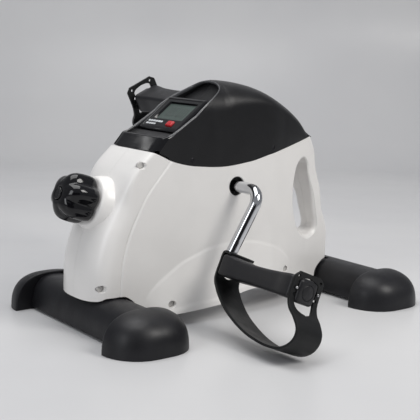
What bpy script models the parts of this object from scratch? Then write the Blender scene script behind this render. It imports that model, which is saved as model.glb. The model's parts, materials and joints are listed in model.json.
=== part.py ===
"""Pedal exerciser: a magnetic mini bike with a hooded monitor, a tension knob and strapped pedals.

X runs from the knob end (-X) to the carry handle (+X), Y across the pedals and Z up from the floor.
Metres throughout. The crank is drawn with the right pedal (-Y) low and the left pedal (+Y) high.
"""
import math

import bmesh
import bpy
from mathutils import Matrix, Vector

MM = 0.001
GAP = 0.3 * MM

# Feet and bars
FRONT_BAR_X = -199 * MM
REAR_BAR_X = 207 * MM
COVER_HALF_WIDTH = 33 * MM
COVER_HEIGHT = 46 * MM
COVER_WALL = 2.5 * MM
CAP_INNER_Y = 112 * MM
CAP_LENGTH = 52 * MM
CAP_HALF_WIDTH = 57 * MM
CAP_HEIGHT = 49 * MM
BAR_SIZE = (36 * MM, 292 * MM, 26 * MM)
BAR_BOTTOM = 12 * MM

# Body
WALL = 3 * MM
BODY_HALF_WIDTH = 52 * MM
TAIL_HALF_WIDTH = 17 * MM
TAPER_START_X = 49 * MM
FRONT_X = -230 * MM
TAIL_X = 201 * MM
SHOULDER = 14 * MM

# Crank, pulley and flywheel
CRANK_X = -10 * MM
CRANK_Z = 177 * MM
CRANK_RADIUS = 109 * MM
CRANK_ANGLE = math.radians(26.6)
ROD_RADIUS = 7.75 * MM
HUB_CORNER_Y = 104.5 * MM
PIN_CORNER_Y = 92.5 * MM
HUB_BEND_RADIUS = 20 * MM
PIN_BEND_RADIUS = 15 * MM
ROD_END_Y = 235 * MM
PEDAL_TILT = math.radians(23)
PLATE_Y = 28 * MM
PLATE_THICKNESS = 4 * MM
FLYWHEEL_X = -101 * MM
FLYWHEEL_Z = 98 * MM
FLYWHEEL_RADIUS = 55 * MM
PULLEY_RADIUS = 60 * MM
SMALL_PULLEY_RADIUS = 12 * MM
BELT_Y = 17 * MM

# Tension knob, on an axis that leans up towards the user
KNOB_BASE = Vector((-194 * MM, 0, 159 * MM))
KNOB_TILT = math.radians(18)
KNOB_RADIUS = 32 * MM
KNOB_LOBES = 6
LOBE_TURN = math.radians(47)

# Monitor
MONITOR_LOW = Vector((-105.9 * MM, 0, 253.7 * MM))
MONITOR_HIGH = Vector((-56.9 * MM, 0, 292.3 * MM))
MONITOR_HALF_WIDTH = 45 * MM
# Display window and button on the monitor's face: along its slope, then across
WINDOW_ALONG = (-10 * MM, 23.5 * MM)
WINDOW_ACROSS = 32 * MM
BUTTON_ALONG = (-24.5 * MM, -14.5 * MM)
BUTTON_ACROSS = (-22.5 * MM, -9 * MM)
MONITOR_THICKNESS = 17 * MM
DECK_START = -150 * MM
DECK_END = -22 * MM
DECK_DEPTH = 18 * MM

SIDES = (("right", -1), ("left", 1))

for old in list(bpy.data.objects):
    bpy.data.objects.remove(old, do_unlink=True)

PARTS = bpy.data.collections.new("pedal_exerciser")
CUTTERS = bpy.data.collections.new("cutters")
bpy.context.scene.collection.children.link(PARTS)
bpy.context.scene.collection.children.link(CUTTERS)


# ---------------------------------------------------------------- materials
def material(name, colour, roughness, metallic=0.0):
    """A Principled BSDF material."""
    made = bpy.data.materials.new(name)
    made.use_nodes = True
    shader = made.node_tree.nodes["Principled BSDF"]
    shader.inputs["Base Color"].default_value = (*colour, 1.0)
    shader.inputs["Roughness"].default_value = roughness
    shader.inputs["Metallic"].default_value = metallic
    return made


WHITE_SHELL = material("white_shell", (0.80, 0.79, 0.77), 0.35)
BLACK_COVER = material("black_cover", (0.025, 0.025, 0.027), 0.5)
GLOSS_BLACK = material("gloss_black", (0.012, 0.012, 0.013), 0.12)
FOOT_PLASTIC = material("foot_plastic", (0.045, 0.046, 0.050), 0.5)
PEDAL_PLASTIC = material("pedal_plastic", (0.035, 0.036, 0.038), 0.55)
STRAP_RUBBER = material("strap_rubber", (0.050, 0.051, 0.054), 0.6)
CHROME = material("chrome", (0.75, 0.76, 0.78), 0.08, 1.0)
STEEL = material("steel", (0.45, 0.46, 0.48), 0.35, 1.0)
PAINTED_STEEL = material("painted_steel", (0.03, 0.03, 0.032), 0.45)
CAST_IRON = material("cast_iron", (0.20, 0.20, 0.21), 0.5, 1.0)
PULLEY_PLASTIC = material("pulley_plastic", (0.09, 0.09, 0.10), 0.5)
BELT_RUBBER = material("belt_rubber", (0.02, 0.02, 0.02), 0.8)
LCD_GLASS = material("lcd_glass", (0.30, 0.36, 0.32), 0.15)
RED_BUTTON = material("red_button", (0.70, 0.03, 0.03), 0.4)
MAGNET = material("magnet", (0.60, 0.60, 0.62), 0.25, 1.0)


# ---------------------------------------------------------------- building helpers
def add(name, mesh, finish=None, cutter=False, matrix=None):
    """Put a mesh into the scene as a named part or as a cutter."""
    obj = bpy.data.objects.new(name, mesh)
    (CUTTERS if cutter else PARTS).objects.link(obj)
    if finish is not None:
        mesh.materials.append(finish)
    if cutter:
        obj.hide_render = True
        obj.display_type = "WIRE"
    if matrix is not None:
        obj.matrix_world = matrix
    return obj


def to_mesh(name, bm):
    """Turn a bmesh into mesh data, with its faces pointing out and edges over 35 degrees sharp."""
    bmesh.ops.recalc_face_normals(bm, faces=bm.faces)
    mesh = bpy.data.meshes.new(name)
    bm.to_mesh(mesh)
    bm.free()
    mesh.shade_smooth()
    mesh.set_sharp_from_angle(angle=math.radians(35))
    return mesh


def along(axis):
    """Rotation that turns local Z onto an axis."""
    return Vector((0, 0, 1)).rotation_difference(Vector(axis)).to_matrix().to_4x4()


def box(name, low, high, finish=None, cutter=False, bevel=0.0):
    """A box between two corners."""
    low = Vector(low)
    high = Vector(high)
    bm = bmesh.new()
    bmesh.ops.create_cube(bm, size=1.0)
    bmesh.ops.scale(bm, vec=high - low, verts=bm.verts)
    bmesh.ops.translate(bm, vec=(high + low) / 2, verts=bm.verts)
    obj = add(name, to_mesh(name, bm), finish, cutter)
    if bevel:
        soften(obj, bevel, 2)
    return obj


def cylinder(name, radius, start, end, finish=None, cutter=False, sides=24, end_radius=None):
    """A cylinder or cone between two points."""
    start = Vector(start)
    end = Vector(end)
    bm = bmesh.new()
    bmesh.ops.create_cone(
        bm, cap_ends=True, segments=sides, radius1=radius,
        radius2=radius if end_radius is None else end_radius, depth=(end - start).length,
    )
    place = Matrix.Translation((start + end) / 2) @ along((end - start).normalized())
    bmesh.ops.transform(bm, matrix=place, verts=bm.verts)
    return add(name, to_mesh(name, bm), finish, cutter)


def turned(name, profile, place, finish=None, steps=28):
    """A turned piece: (radius, height) points of one closed outline, outer side from top to bottom."""
    mesh = bpy.data.meshes.new(name)
    bm = bmesh.new()
    verts = [bm.verts.new((radius, 0, height)) for radius, height in profile]
    for first, second in zip(verts, verts[1:]):
        bm.edges.new((first, second))
    if profile[0][0] > 0:
        bm.edges.new((verts[-1], verts[0]))
    bm.to_mesh(mesh)
    bm.free()
    obj = add(name, mesh, finish, matrix=place)
    screw = obj.modifiers.new("turn", "SCREW")
    screw.steps = steps
    screw.render_steps = steps
    screw.use_merge_vertices = True
    screw.merge_threshold = 0.00005
    return obj


def prism(name, outline, y_low, y_high, finish=None, cutter=False):
    """A side-view (x, z) outline given thickness across Y."""
    curve = bpy.data.curves.new(name, "CURVE")
    curve.dimensions = "2D"
    curve.fill_mode = "BOTH"
    curve.extrude = (y_high - y_low) / 2
    spline = curve.splines.new("POLY")
    spline.points.add(len(outline) - 1)
    for point, (x, z) in zip(spline.points, outline):
        point.co = (x, z, 0, 1)
    spline.use_cyclic_u = True
    upright = Matrix.Translation((0, (y_low + y_high) / 2, 0)) @ Matrix.Rotation(math.pi / 2, 4, "X")
    return curve_solid(name, curve, upright, finish, cutter)


def curve_solid(name, curve, place, finish=None, cutter=False):
    """Convert a curve into a closed mesh object in world coordinates."""
    source = bpy.data.objects.new(name + "_curve", curve)
    CUTTERS.objects.link(source)
    source.matrix_world = place
    bpy.context.view_layer.update()
    evaluated = source.evaluated_get(bpy.context.evaluated_depsgraph_get())
    raw = bpy.data.meshes.new_from_object(evaluated)
    bpy.data.objects.remove(source, do_unlink=True)
    bm = bmesh.new()
    bm.from_mesh(raw)
    bmesh.ops.remove_doubles(bm, verts=bm.verts, dist=0.00002)
    bmesh.ops.transform(bm, matrix=place, verts=bm.verts)
    return add(name, to_mesh(name, bm), finish, cutter)


def rod(name, points, radius, finish, resolution=3):
    """A round rod or wire along a polyline."""
    curve = bpy.data.curves.new(name, "CURVE")
    curve.dimensions = "3D"
    curve.bevel_depth = radius
    curve.bevel_resolution = resolution
    curve.use_fill_caps = True
    spline = curve.splines.new("POLY")
    spline.points.add(len(points) - 1)
    for point, place in zip(spline.points, points):
        point.co = (*place, 1)
    return curve_solid(name, curve, Matrix.Identity(4), finish)


def loft(name, rings, finish=None, cutter=False):
    """A closed solid through rings of equal point count, with flat end caps."""
    bm = bmesh.new()
    rows = [[bm.verts.new(point) for point in ring] for ring in rings]
    count = len(rows[0])
    for first, second in zip(rows, rows[1:]):
        for i in range(count):
            j = (i + 1) % count
            bm.faces.new((first[i], first[j], second[j], second[i]))
    bm.faces.new(rows[0])
    bm.faces.new(rows[-1])
    return add(name, to_mesh(name, bm), finish, cutter)


def boolean(obj, cutter, operation="DIFFERENCE"):
    """Add an exact Boolean to an object."""
    step = obj.modifiers.new(operation.lower(), "BOOLEAN")
    step.operation = operation
    step.object = cutter
    return obj


def soften(obj, width, segments=2, angle=40):
    """Round the edges sharper than an angle."""
    step = obj.modifiers.new("edges", "BEVEL")
    step.width = width
    step.segments = segments
    step.limit_method = "ANGLE"
    step.angle_limit = math.radians(angle)
    return obj


def ring(name, inner, outer, x, y_low, y_high, z, finish, steps=20):
    """A plain ring on an axis along Y."""
    half = (y_high - y_low) / 2
    profile = [(outer, half), (outer, -half), (inner, -half), (inner, half)]
    place = Matrix.Translation((x, (y_low + y_high) / 2, z)) @ Matrix.Rotation(-math.pi / 2, 4, "X")
    return turned(name, profile, place, finish, steps)


def arc(centre, radius, start, end, count):
    """Points on a circular arc, angles in degrees."""
    points = []
    for i in range(count):
        angle = math.radians(start + (end - start) * i / (count - 1))
        points.append((centre[0] + radius * math.cos(angle), centre[1] + radius * math.sin(angle)))
    return points


def between(table, x):
    """Straight-line interpolation in a table of (x, value) pairs in millimetres, for x in metres."""
    x /= MM
    if x <= table[0][0]:
        return table[0][1] * MM
    for (x0, v0), (x1, v1) in zip(table, table[1:]):
        if x <= x1:
            return (v0 + (v1 - v0) * (x - x0) / (x1 - x0)) * MM
    return table[-1][1] * MM


# ---------------------------------------------------------------- body outline, in millimetres
# Height of the roof line: front slope, monitor rim, hood, dome and the back of the carry handle.
ROOF = [
    (-230, 56), (-229, 80), (-224, 105), (-215, 131), (-198, 163), (-180, 196), (-167, 214),
    (-151, 231), (-146, 232), (-134, 245.5), (-106, 255.5), (-78, 266), (-66, 275), (-52, 288),
    (-40, 299), (-31, 312), (-12, 316.5), (14, 313.7), (41, 307.5), (67, 297), (94, 281),
    (118, 263), (133, 249), (146, 235), (163, 213), (167, 190), (183, 155), (188, 126),
    (195, 110), (200, 94), (201, 84),
]
# Height of the open bottom edge, arched over both bars and lifted a little between them.
SKIRT = [
    (-230, 42), (-220, 44), (-210, 48), (-188, 48), (-176, 42), (-166, 30), (-162, 17),
    (-116, 17), (-42, 20), (-6, 31), (21, 34), (60, 33), (100, 24), (135, 18), (169, 18),
    (173, 32), (182, 42), (192, 48), (201, 49),
]
# The line where the black cover meets the white shells.
PARTING = [
    (-160, 226), (-147, 228.5), (-111, 214), (-79, 207.5), (-35, 204.5), (13, 209), (48, 217),
    (92, 226), (150, 237),
]
# The carry-handle opening.
HANDLE = [
    (112, 196), (105, 173), (104, 150), (107, 130), (116, 110), (132, 95), (150, 89),
    (164, 94), (168, 104), (162, 128), (156, 152), (143, 182), (139, 198), (127, 206),
]


def half_width(x):
    """Half the body's width at a station along X: round nose, parallel middle, tapered tail."""
    nose = 26 * MM
    if x < FRONT_X + nose:
        reach = (FRONT_X + nose - x) / nose
        return BODY_HALF_WIDTH - nose * (1 - math.sqrt(max(0.0, 1 - reach * reach)))
    if x < TAPER_START_X:
        return BODY_HALF_WIDTH
    tail_start = TAIL_X - TAIL_HALF_WIDTH
    if x < tail_start:
        share = (x - TAPER_START_X) / (tail_start - TAPER_START_X)
        return BODY_HALF_WIDTH + (TAIL_HALF_WIDTH - BODY_HALF_WIDTH) * share
    reach = (x - tail_start) / TAIL_HALF_WIDTH
    return TAIL_HALF_WIDTH * math.sqrt(max(0.04, 1 - reach * reach))


def hull_ring(x, inset, drop, sink):
    """One cross-section of the body: flat bottom edge, upright sides and rounded shoulders."""
    top = between(ROOF, x) - inset - drop
    bottom = between(SKIRT, x) - sink
    width = half_width(x) - inset
    radius = min(SHOULDER, width * 0.8, (top - bottom) * 0.4)
    right = [(-width, bottom)]
    for i in range(4):
        angle = math.radians(30 * i)
        right.append((
            -width + radius * (1 - math.cos(angle)),
            top - radius * (1 - math.sin(angle)),
        ))
    left = [(-y, z) for y, z in reversed(right)]
    return [Vector((x, y, z)) for y, z in right + left]


def hull(name, inset=0.0, sink=0.0, start=None, end=None, pocket=0.0, finish=None, cutter=True):
    """The body as one solid, shrunk by an inset; pocket lowers the roof under the monitor deck."""
    start = FRONT_X if start is None else start
    end = TAIL_X if end is None else end
    stations = sorted({x * MM for x, _ in ROOF + SKIRT})
    stations = [start] + [x for x in stations if start + 2 * MM < x < end - 2 * MM] + [end]
    rings = []
    for x in stations:
        slope = (between(ROOF, x + MM) - between(ROOF, x - MM)) / (2 * MM)
        steepness = math.sqrt(1 + min(slope * slope, 9.0))
        drop = inset * (steepness - 1)
        if DECK_START < x < DECK_END:
            drop = max(drop, pocket)
        rings.append(hull_ring(x, inset, drop, sink))
    return loft(name, rings, finish, cutter)


def in_mm(points):
    return [(x * MM, z * MM) for x, z in points]


def grown(points, amount):
    """An outline pushed outwards from its centre by a fixed amount."""
    cx = sum(x for x, _ in points) / len(points)
    cz = sum(z for _, z in points) / len(points)
    result = []
    for x, z in points:
        length = math.hypot(x - cx, z - cz)
        result.append((x + (x - cx) / length * amount, z + (z - cz) / length * amount))
    return result


# Shell screws: where they pass through the side, and how far in their heads sit.
SHELL_SCREWS = [(-162, 213), (-217, 60), (-118, 30), (88, 50)]
COVER_SCREWS = [(-84, 216), (54, 226)]
SCREW_HEAD = 4 * MM
SCREW_SHANK = 2 * MM
BOSS_RADIUS = 6 * MM


def knob_point(distance, radius=0.0, angle=0.0):
    """A point at a distance out along the knob's axis from the body, off the axis by a radius."""
    out = Vector((-math.cos(KNOB_TILT), 0, math.sin(KNOB_TILT)))
    up = Vector((math.sin(KNOB_TILT), 0, math.cos(KNOB_TILT)))
    across = Vector((0, 1, 0))
    return KNOB_BASE + out * distance + (up * math.cos(angle) + across * math.sin(angle)) * radius


# ---------------------------------------------------------------- shells and cover
def make_body():
    """The two white shells and the black top cover, cut from one hollow hull."""
    hollow = hull("hollow", inset=WALL, sink=8 * MM, start=FRONT_X + 6 * MM, end=TAIL_X - 12 * MM,
                  pocket=DECK_DEPTH + WALL)
    handle_block = prism("handle_block", in_mm(grown(HANDLE, 4)), -0.08, 0.08, cutter=True)
    grip_block = box("grip_block", (128 * MM, -0.08, 85 * MM), (0.3, 0.08, 0.26), cutter=True)
    boolean(hollow, handle_block)
    boolean(hollow, grip_block)
    opening = prism("handle_opening", in_mm(HANDLE), -0.09, 0.09, cutter=True)
    bore = cylinder("crank_bore", 13 * MM, (CRANK_X, -0.1, CRANK_Z), (CRANK_X, 0.1, CRANK_Z), cutter=True)
    collar_bore = cylinder("collar_bore", 7 * MM, knob_point(40 * MM), knob_point(-30 * MM), cutter=True)

    parting = in_mm(PARTING)
    lower = parting + [(0.3, 237 * MM), (0.3, -0.02), (-0.3, -0.02), (-0.3, 226 * MM)]
    upper = [(x, z + GAP) for x, z in parting] + [(0.3, 237 * MM + GAP), (0.3, 0.4), (-0.3, 0.4)]
    upper.append((-0.3, 226 * MM + GAP))

    for side, sign in SIDES:
        y_low, y_high = (-0.07, -GAP / 2) if sign < 0 else (GAP / 2, 0.07)
        shell = hull(side + "_shell", finish=WHITE_SHELL, cutter=False)
        region = prism(side + "_region", lower, y_low, y_high, cutter=True)
        boolean(shell, hollow)
        boolean(shell, region, "INTERSECT")
        for i, (x, z) in enumerate(SHELL_SCREWS):
            inner = sign * GAP / 2
            outer = sign * (half_width(x * MM) - 1.5 * MM)
            boss = cylinder(f"{side}_boss_{i}", BOSS_RADIUS, (x * MM, inner, z * MM),
                            (x * MM, outer, z * MM), cutter=True, sides=10)
            boolean(shell, boss, "UNION")
            if sign < 0:
                recess = cylinder(f"recess_{i}", SCREW_HEAD + MM, (x * MM, -18 * MM, z * MM),
                                  (x * MM, -0.08, z * MM), cutter=True, sides=12)
                boolean(shell, recess)
            hole = cylinder(f"{side}_hole_{i}", SCREW_SHANK + GAP, (x * MM, -30 * MM, z * MM),
                            (x * MM, 22 * MM, z * MM), cutter=True, sides=10)
            boolean(shell, hole)
        boolean(shell, opening)
        boolean(shell, bore)
        boolean(shell, collar_bore)

    cover = hull("top_cover", finish=BLACK_COVER, cutter=False)
    region = prism("cover_region", upper, -0.07, 0.07, cutter=True)
    boolean(cover, hollow)
    boolean(cover, region, "INTERSECT")
    deck = [(x * MM, between(ROOF, x * MM) - DECK_DEPTH) for x in (-126, -106, -78, -62, -48)]
    pocket = deck + [(-38 * MM, 290 * MM), (-27 * MM, 0.33), (-126 * MM, 0.33)]
    boolean(cover, prism("monitor_pocket", pocket, -45 * MM, 45 * MM, cutter=True))
    for side, sign in SIDES:
        for i, (x, z) in enumerate(COVER_SCREWS):
            y = sign * half_width(x * MM)
            hole = cylinder(f"{side}_cover_hole_{i}", SCREW_SHANK + GAP, (x * MM, y * 0.7, z * MM),
                            (x * MM, y * 1.2, z * MM), cutter=True, sides=10)
            boolean(cover, hole)


def make_screws():
    """Long screws through the right shell into the left one, and short ones in the cover's sides."""
    for i, (x, z) in enumerate(SHELL_SCREWS):
        head = -18 * MM - GAP
        profile = [(0, 3 * MM), (SCREW_HEAD, 2 * MM), (SCREW_HEAD, 0), (SCREW_SHANK, 0),
                   (SCREW_SHANK, -38 * MM), (0, -40 * MM)]
        place = Matrix.Translation((x * MM, head, z * MM)) @ Matrix.Rotation(math.pi / 2, 4, "X")
        turned(f"shell_screw_{i + 1}", profile, place, STEEL, 12)
    for side, sign in SIDES:
        for i, (x, z) in enumerate(COVER_SCREWS):
            y = sign * (half_width(x * MM) + GAP)
            profile = [(0, 1.4 * MM), (3 * MM, 1.1 * MM), (SCREW_HEAD, 0), (SCREW_SHANK, 0),
                       (SCREW_SHANK, -9 * MM), (0, -10 * MM)]
            place = Matrix.Translation((x * MM, y, z * MM))
            place = place @ Matrix.Rotation(-sign * math.pi / 2, 4, "X")
            turned(f"cover_screw_{side}_{i + 1}", profile, place, STEEL, 12)


# ---------------------------------------------------------------- knob and brake
def make_knob():
    """Collar, lobed knob, cap, screw and the nut that travels on it."""
    collar = cylinder("knob_collar", 37 * MM, knob_point(-22 * MM), knob_point(16.5 * MM), WHITE_SHELL,
                      sides=32, end_radius=31 * MM)
    boolean(collar, hull("collar_seat", inset=-GAP, cutter=True))
    bore = cylinder("collar_hole", 4.6 * MM, knob_point(-30 * MM), knob_point(30 * MM), cutter=True, sides=16)
    boolean(collar, bore)

    bm = bmesh.new()
    count = KNOB_LOBES * 8
    heights = [(0, 0.86), (3, 0.96), (8, 1.0), (36.5, 1.0), (41.5, 0.93), (44.5, 0.80)]
    rows = []
    for height, share in heights:
        row = []
        for i in range(count):
            angle = 2 * math.pi * i / count
            reach = KNOB_RADIUS * share * (0.93 + 0.07 * math.cos(KNOB_LOBES * (angle - LOBE_TURN)))
            row.append(bm.verts.new(knob_point(17.5 * MM + height * MM, reach, angle)))
        rows.append(row)
    for first, second in zip(rows, rows[1:]):
        for i in range(count):
            j = (i + 1) % count
            bm.faces.new((first[i], first[j], second[j], second[i]))
    bm.faces.new(rows[0])
    bm.faces.new(rows[-1])
    knob = add("tension_knob", to_mesh("tension_knob", bm), GLOSS_BLACK)
    recess = cylinder("cap_recess", 10 * MM, knob_point(57 * MM), knob_point(74 * MM), cutter=True)
    boolean(knob, recess)
    socket = cylinder("screw_socket", 4.3 * MM, knob_point(10 * MM), knob_point(48 * MM),
                      cutter=True, sides=16)
    boolean(knob, socket)
    cap_place = Matrix.Translation(knob_point(57 * MM + GAP)) @ along(knob_point(1) - knob_point(0))
    cap_profile = [(0, 6.5 * MM), (6 * MM, 6 * MM), (9.5 * MM, 4.5 * MM), (9.6 * MM, 0), (0, 0)]
    turned("knob_cap", cap_profile, cap_place, GLOSS_BLACK, 24)
    cylinder("tension_screw", 4 * MM, knob_point(-24.7 * MM), knob_point(47 * MM), STEEL, sides=16)

    slider = box("tension_slider", (-8 * MM, -8 * MM, -17 * MM), (8 * MM, 8 * MM, 11 * MM), PULLEY_PLASTIC)
    slider_place = Matrix.Translation(knob_point(-21.7 * MM)) @ along(knob_point(1) - knob_point(0))
    slider.data.transform(slider_place)
    slider_bore = cylinder("slider_bore", 4.3 * MM, knob_point(-28.2 * MM), knob_point(0),
                           cutter=True, sides=16)
    boolean(slider, slider_bore)
    soften(slider, 1 * MM, 1)


BRAKE_PIN = (-168 * MM, 74 * MM)
BRAKE_GAP = 7 * MM
SPRING_START = -191 * MM
SPRING_LENGTH = 18 * MM


def make_brake():
    """A magnet arm that hinges behind the flywheel's rim, its pin and its return spring."""
    centre = (FLYWHEEL_X, FLYWHEEL_Z)
    inner = FLYWHEEL_RADIUS + BRAKE_GAP + 5 * MM
    outline = arc(centre, inner + 4 * MM, 196, 132, 9) + arc(centre, inner, 132, 196, 9)
    arm = prism("brake_arm", outline, -22 * MM, -2 * MM, PAINTED_STEEL)
    eye = cylinder("brake_eye", 7 * MM, (BRAKE_PIN[0], -22 * MM, BRAKE_PIN[1]),
                   (BRAKE_PIN[0], -2 * MM, BRAKE_PIN[1]), cutter=True, sides=16)
    boolean(arm, eye, "UNION")
    eye_bore = cylinder("brake_eye_bore", 3.3 * MM, (BRAKE_PIN[0], -0.05, BRAKE_PIN[1]),
                        (BRAKE_PIN[0], 0.05, BRAKE_PIN[1]), cutter=True, sides=12)
    boolean(arm, eye_bore)
    cylinder("brake_pin", 3 * MM, (BRAKE_PIN[0], -PLATE_Y + GAP, BRAKE_PIN[1]),
             (BRAKE_PIN[0], PLATE_Y - GAP, BRAKE_PIN[1]), STEEL, sides=12)
    for i, angle in enumerate((150, 176)):
        magnet_outline = arc(centre, inner - GAP, angle - 9, angle + 9, 4)
        magnet_outline += arc(centre, inner - 4.5 * MM, angle + 9, angle - 9, 4)
        prism(f"brake_magnet_{i + 1}", magnet_outline, -20 * MM, -4 * MM, MAGNET)
    turns = 5
    steps = 9
    points = []
    for i in range(turns * steps + 1):
        angle = 2 * math.pi * i / steps
        points.append(Vector((
            SPRING_START + SPRING_LENGTH * i / (turns * steps),
            -12 * MM + 4.5 * MM * math.cos(angle),
            104 * MM + 4.5 * MM * math.sin(angle),
        )))
    rod("brake_spring", points, 0.6 * MM, STEEL, 1)


# ---------------------------------------------------------------- monitor
def monitor_matrix():
    """Monitor frame: local X up the slope, local Y across, local Z out of the face."""
    slope = (MONITOR_HIGH - MONITOR_LOW).normalized()
    across = Vector((0, 1, 0))
    out = slope.cross(across)
    basis = Matrix((slope, across, out)).transposed().to_4x4()
    return Matrix.Translation((MONITOR_LOW + MONITOR_HIGH) / 2) @ basis


def make_monitor():
    """Case, back, display and button, on the deck under the hood."""
    place = monitor_matrix()
    half_length = (MONITOR_HIGH - MONITOR_LOW).length / 2
    case = box("monitor_case", (-half_length, -MONITOR_HALF_WIDTH, -MONITOR_THICKNESS + 3 * MM),
               (half_length, MONITOR_HALF_WIDTH, 0), GLOSS_BLACK)
    inside = box("monitor_inside", (-half_length + 2 * MM, -MONITOR_HALF_WIDTH + 2 * MM, -0.05),
                 (half_length - 2 * MM, MONITOR_HALF_WIDTH - 2 * MM, -2.5 * MM), cutter=True)
    (low, high), across = WINDOW_ALONG, WINDOW_ACROSS
    window = box("monitor_window", (low, -across, -20 * MM), (high, across, 20 * MM), cutter=True)
    (near, far), (left, right) = BUTTON_ALONG, BUTTON_ACROSS
    hole = box("button_hole", (near, left, -20 * MM), (far, right, 20 * MM), cutter=True)
    back = box("monitor_back", (-half_length + 2.3 * MM, -MONITOR_HALF_WIDTH + 2.3 * MM, -13.8 * MM),
               (half_length - 2.3 * MM, MONITOR_HALF_WIDTH - 2.3 * MM, -11 * MM), BLACK_COVER)
    lcd = box("lcd_panel", (low + GAP, -across + GAP, -6 * MM), (high - GAP, across - GAP, -1 * MM),
              LCD_GLASS)
    fit = 0.4 * MM
    button = box("monitor_button", (near + fit, left + fit, -6 * MM),
                 (far - fit, right - fit, 1.5 * MM), RED_BUTTON)
    for piece in (case, inside, window, hole, back, lcd, button):
        piece.data.transform(place)
    boolean(case, inside)
    boolean(case, window)
    boolean(case, hole)
    soften(button, 1 * MM, 2)


# ---------------------------------------------------------------- feet and frame
def cover_section(half, height, count=12):
    """A rounded arch, flat at the floor, as (x, z) points from +X over the top to -X."""
    points = []
    for i in range(count + 1):
        angle = math.pi * i / count
        x = half * math.copysign(abs(math.cos(angle)) ** 0.75, math.cos(angle))
        points.append((x, height * math.sin(angle) ** 0.75))
    return points


def make_feet():
    """Bar covers, crossbars and the four bulbous caps."""
    for end, bar_x in (("front", FRONT_BAR_X), ("rear", REAR_BAR_X)):
        lift = 3 * MM
        outer = cover_section(COVER_HALF_WIDTH, COVER_HEIGHT - lift)
        reach = CAP_INNER_Y - GAP
        cover = prism(end + "_bar_cover", [(bar_x + x, z + lift) for x, z in outer],
                      -reach, reach, FOOT_PLASTIC)
        inner = cover_section(COVER_HALF_WIDTH - COVER_WALL, COVER_HEIGHT - lift - COVER_WALL)
        channel = [(bar_x + x, z + lift) for x, z in inner]
        channel = [(bar_x + COVER_HALF_WIDTH - COVER_WALL, -0.01)] + channel
        channel.append((bar_x - COVER_HALF_WIDTH + COVER_WALL, -0.01))
        boolean(cover, prism(end + "_channel", channel, -0.15, 0.15, cutter=True))
        inward = 1 if bar_x < 0 else -1
        slot_half = 34 * MM if bar_x < 0 else 13 * MM
        slot_far = bar_x + inward * 0.06
        slot = box(end + "_slot", (min(bar_x, slot_far), -slot_half, -0.01),
                   (max(bar_x, slot_far), slot_half, 60 * MM), cutter=True)
        boolean(cover, slot)
        half_x, half_y = BAR_SIZE[0] / 2, BAR_SIZE[1] / 2
        bar = box(end + "_crossbar", (bar_x - half_x, -half_y, BAR_BOTTOM),
                  (bar_x + half_x, half_y, BAR_BOTTOM + BAR_SIZE[2]), PAINTED_STEEL)
        tube = 2.5 * MM
        boolean(bar, box(end + "_tube", (bar_x - half_x + tube, -0.2, BAR_BOTTOM + tube),
                         (bar_x + half_x - tube, 0.2, BAR_BOTTOM + BAR_SIZE[2] - tube), cutter=True))
        bolt_hole = cylinder(end + "_bolt_hole", 4.3 * MM, (bar_x, 0, 0), (bar_x, 0, 60 * MM),
                             cutter=True, sides=12)
        boolean(bar, bolt_hole)
        profile = [(0, 43 * MM), (4 * MM, 42.6 * MM), (4 * MM, BAR_BOTTOM - GAP), (7 * MM, BAR_BOTTOM - GAP),
                   (7 * MM, BAR_BOTTOM - 5 * MM), (0, BAR_BOTTOM - 5 * MM)]
        turned(end + "_bar_bolt", profile, Matrix.Translation((bar_x, 0, 0)), STEEL, 12)
        for side, sign in SIDES:
            make_cap(end, side, bar_x, sign)


def make_cap(end, side, bar_x, sign):
    """A foot cap: a rounded bulb with a flat sole, a flat inner face and a pocket for the bar."""
    rings = []
    steps = 8
    for i in range(steps):
        share = math.sin(0.5 * math.pi * i / (steps - 1) * 0.97)
        shrink = (1 - share ** 2.1) ** 0.47
        half = CAP_HALF_WIDTH * (0.16 + 0.84 * shrink)
        height = CAP_HEIGHT * (0.25 + 0.75 * shrink)
        y = sign * (CAP_INNER_Y + CAP_LENGTH * share)
        section = cover_section(half, height, 14)
        rings.append([Vector((bar_x + x, y, z)) for x, z in section])
    cap = loft(f"{end}_foot_cap_{side}", rings, FOOT_PLASTIC)
    half_x = BAR_SIZE[0] / 2 + GAP
    y_low, y_high = sorted((sign * 0.1, sign * (BAR_SIZE[1] / 2 + GAP)))
    pocket = box(f"{end}_pocket_{side}", (bar_x - half_x, y_low, BAR_BOTTOM - GAP),
                 (bar_x + half_x, y_high, BAR_BOTTOM + BAR_SIZE[2] + GAP), cutter=True)
    boolean(cap, pocket)


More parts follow.
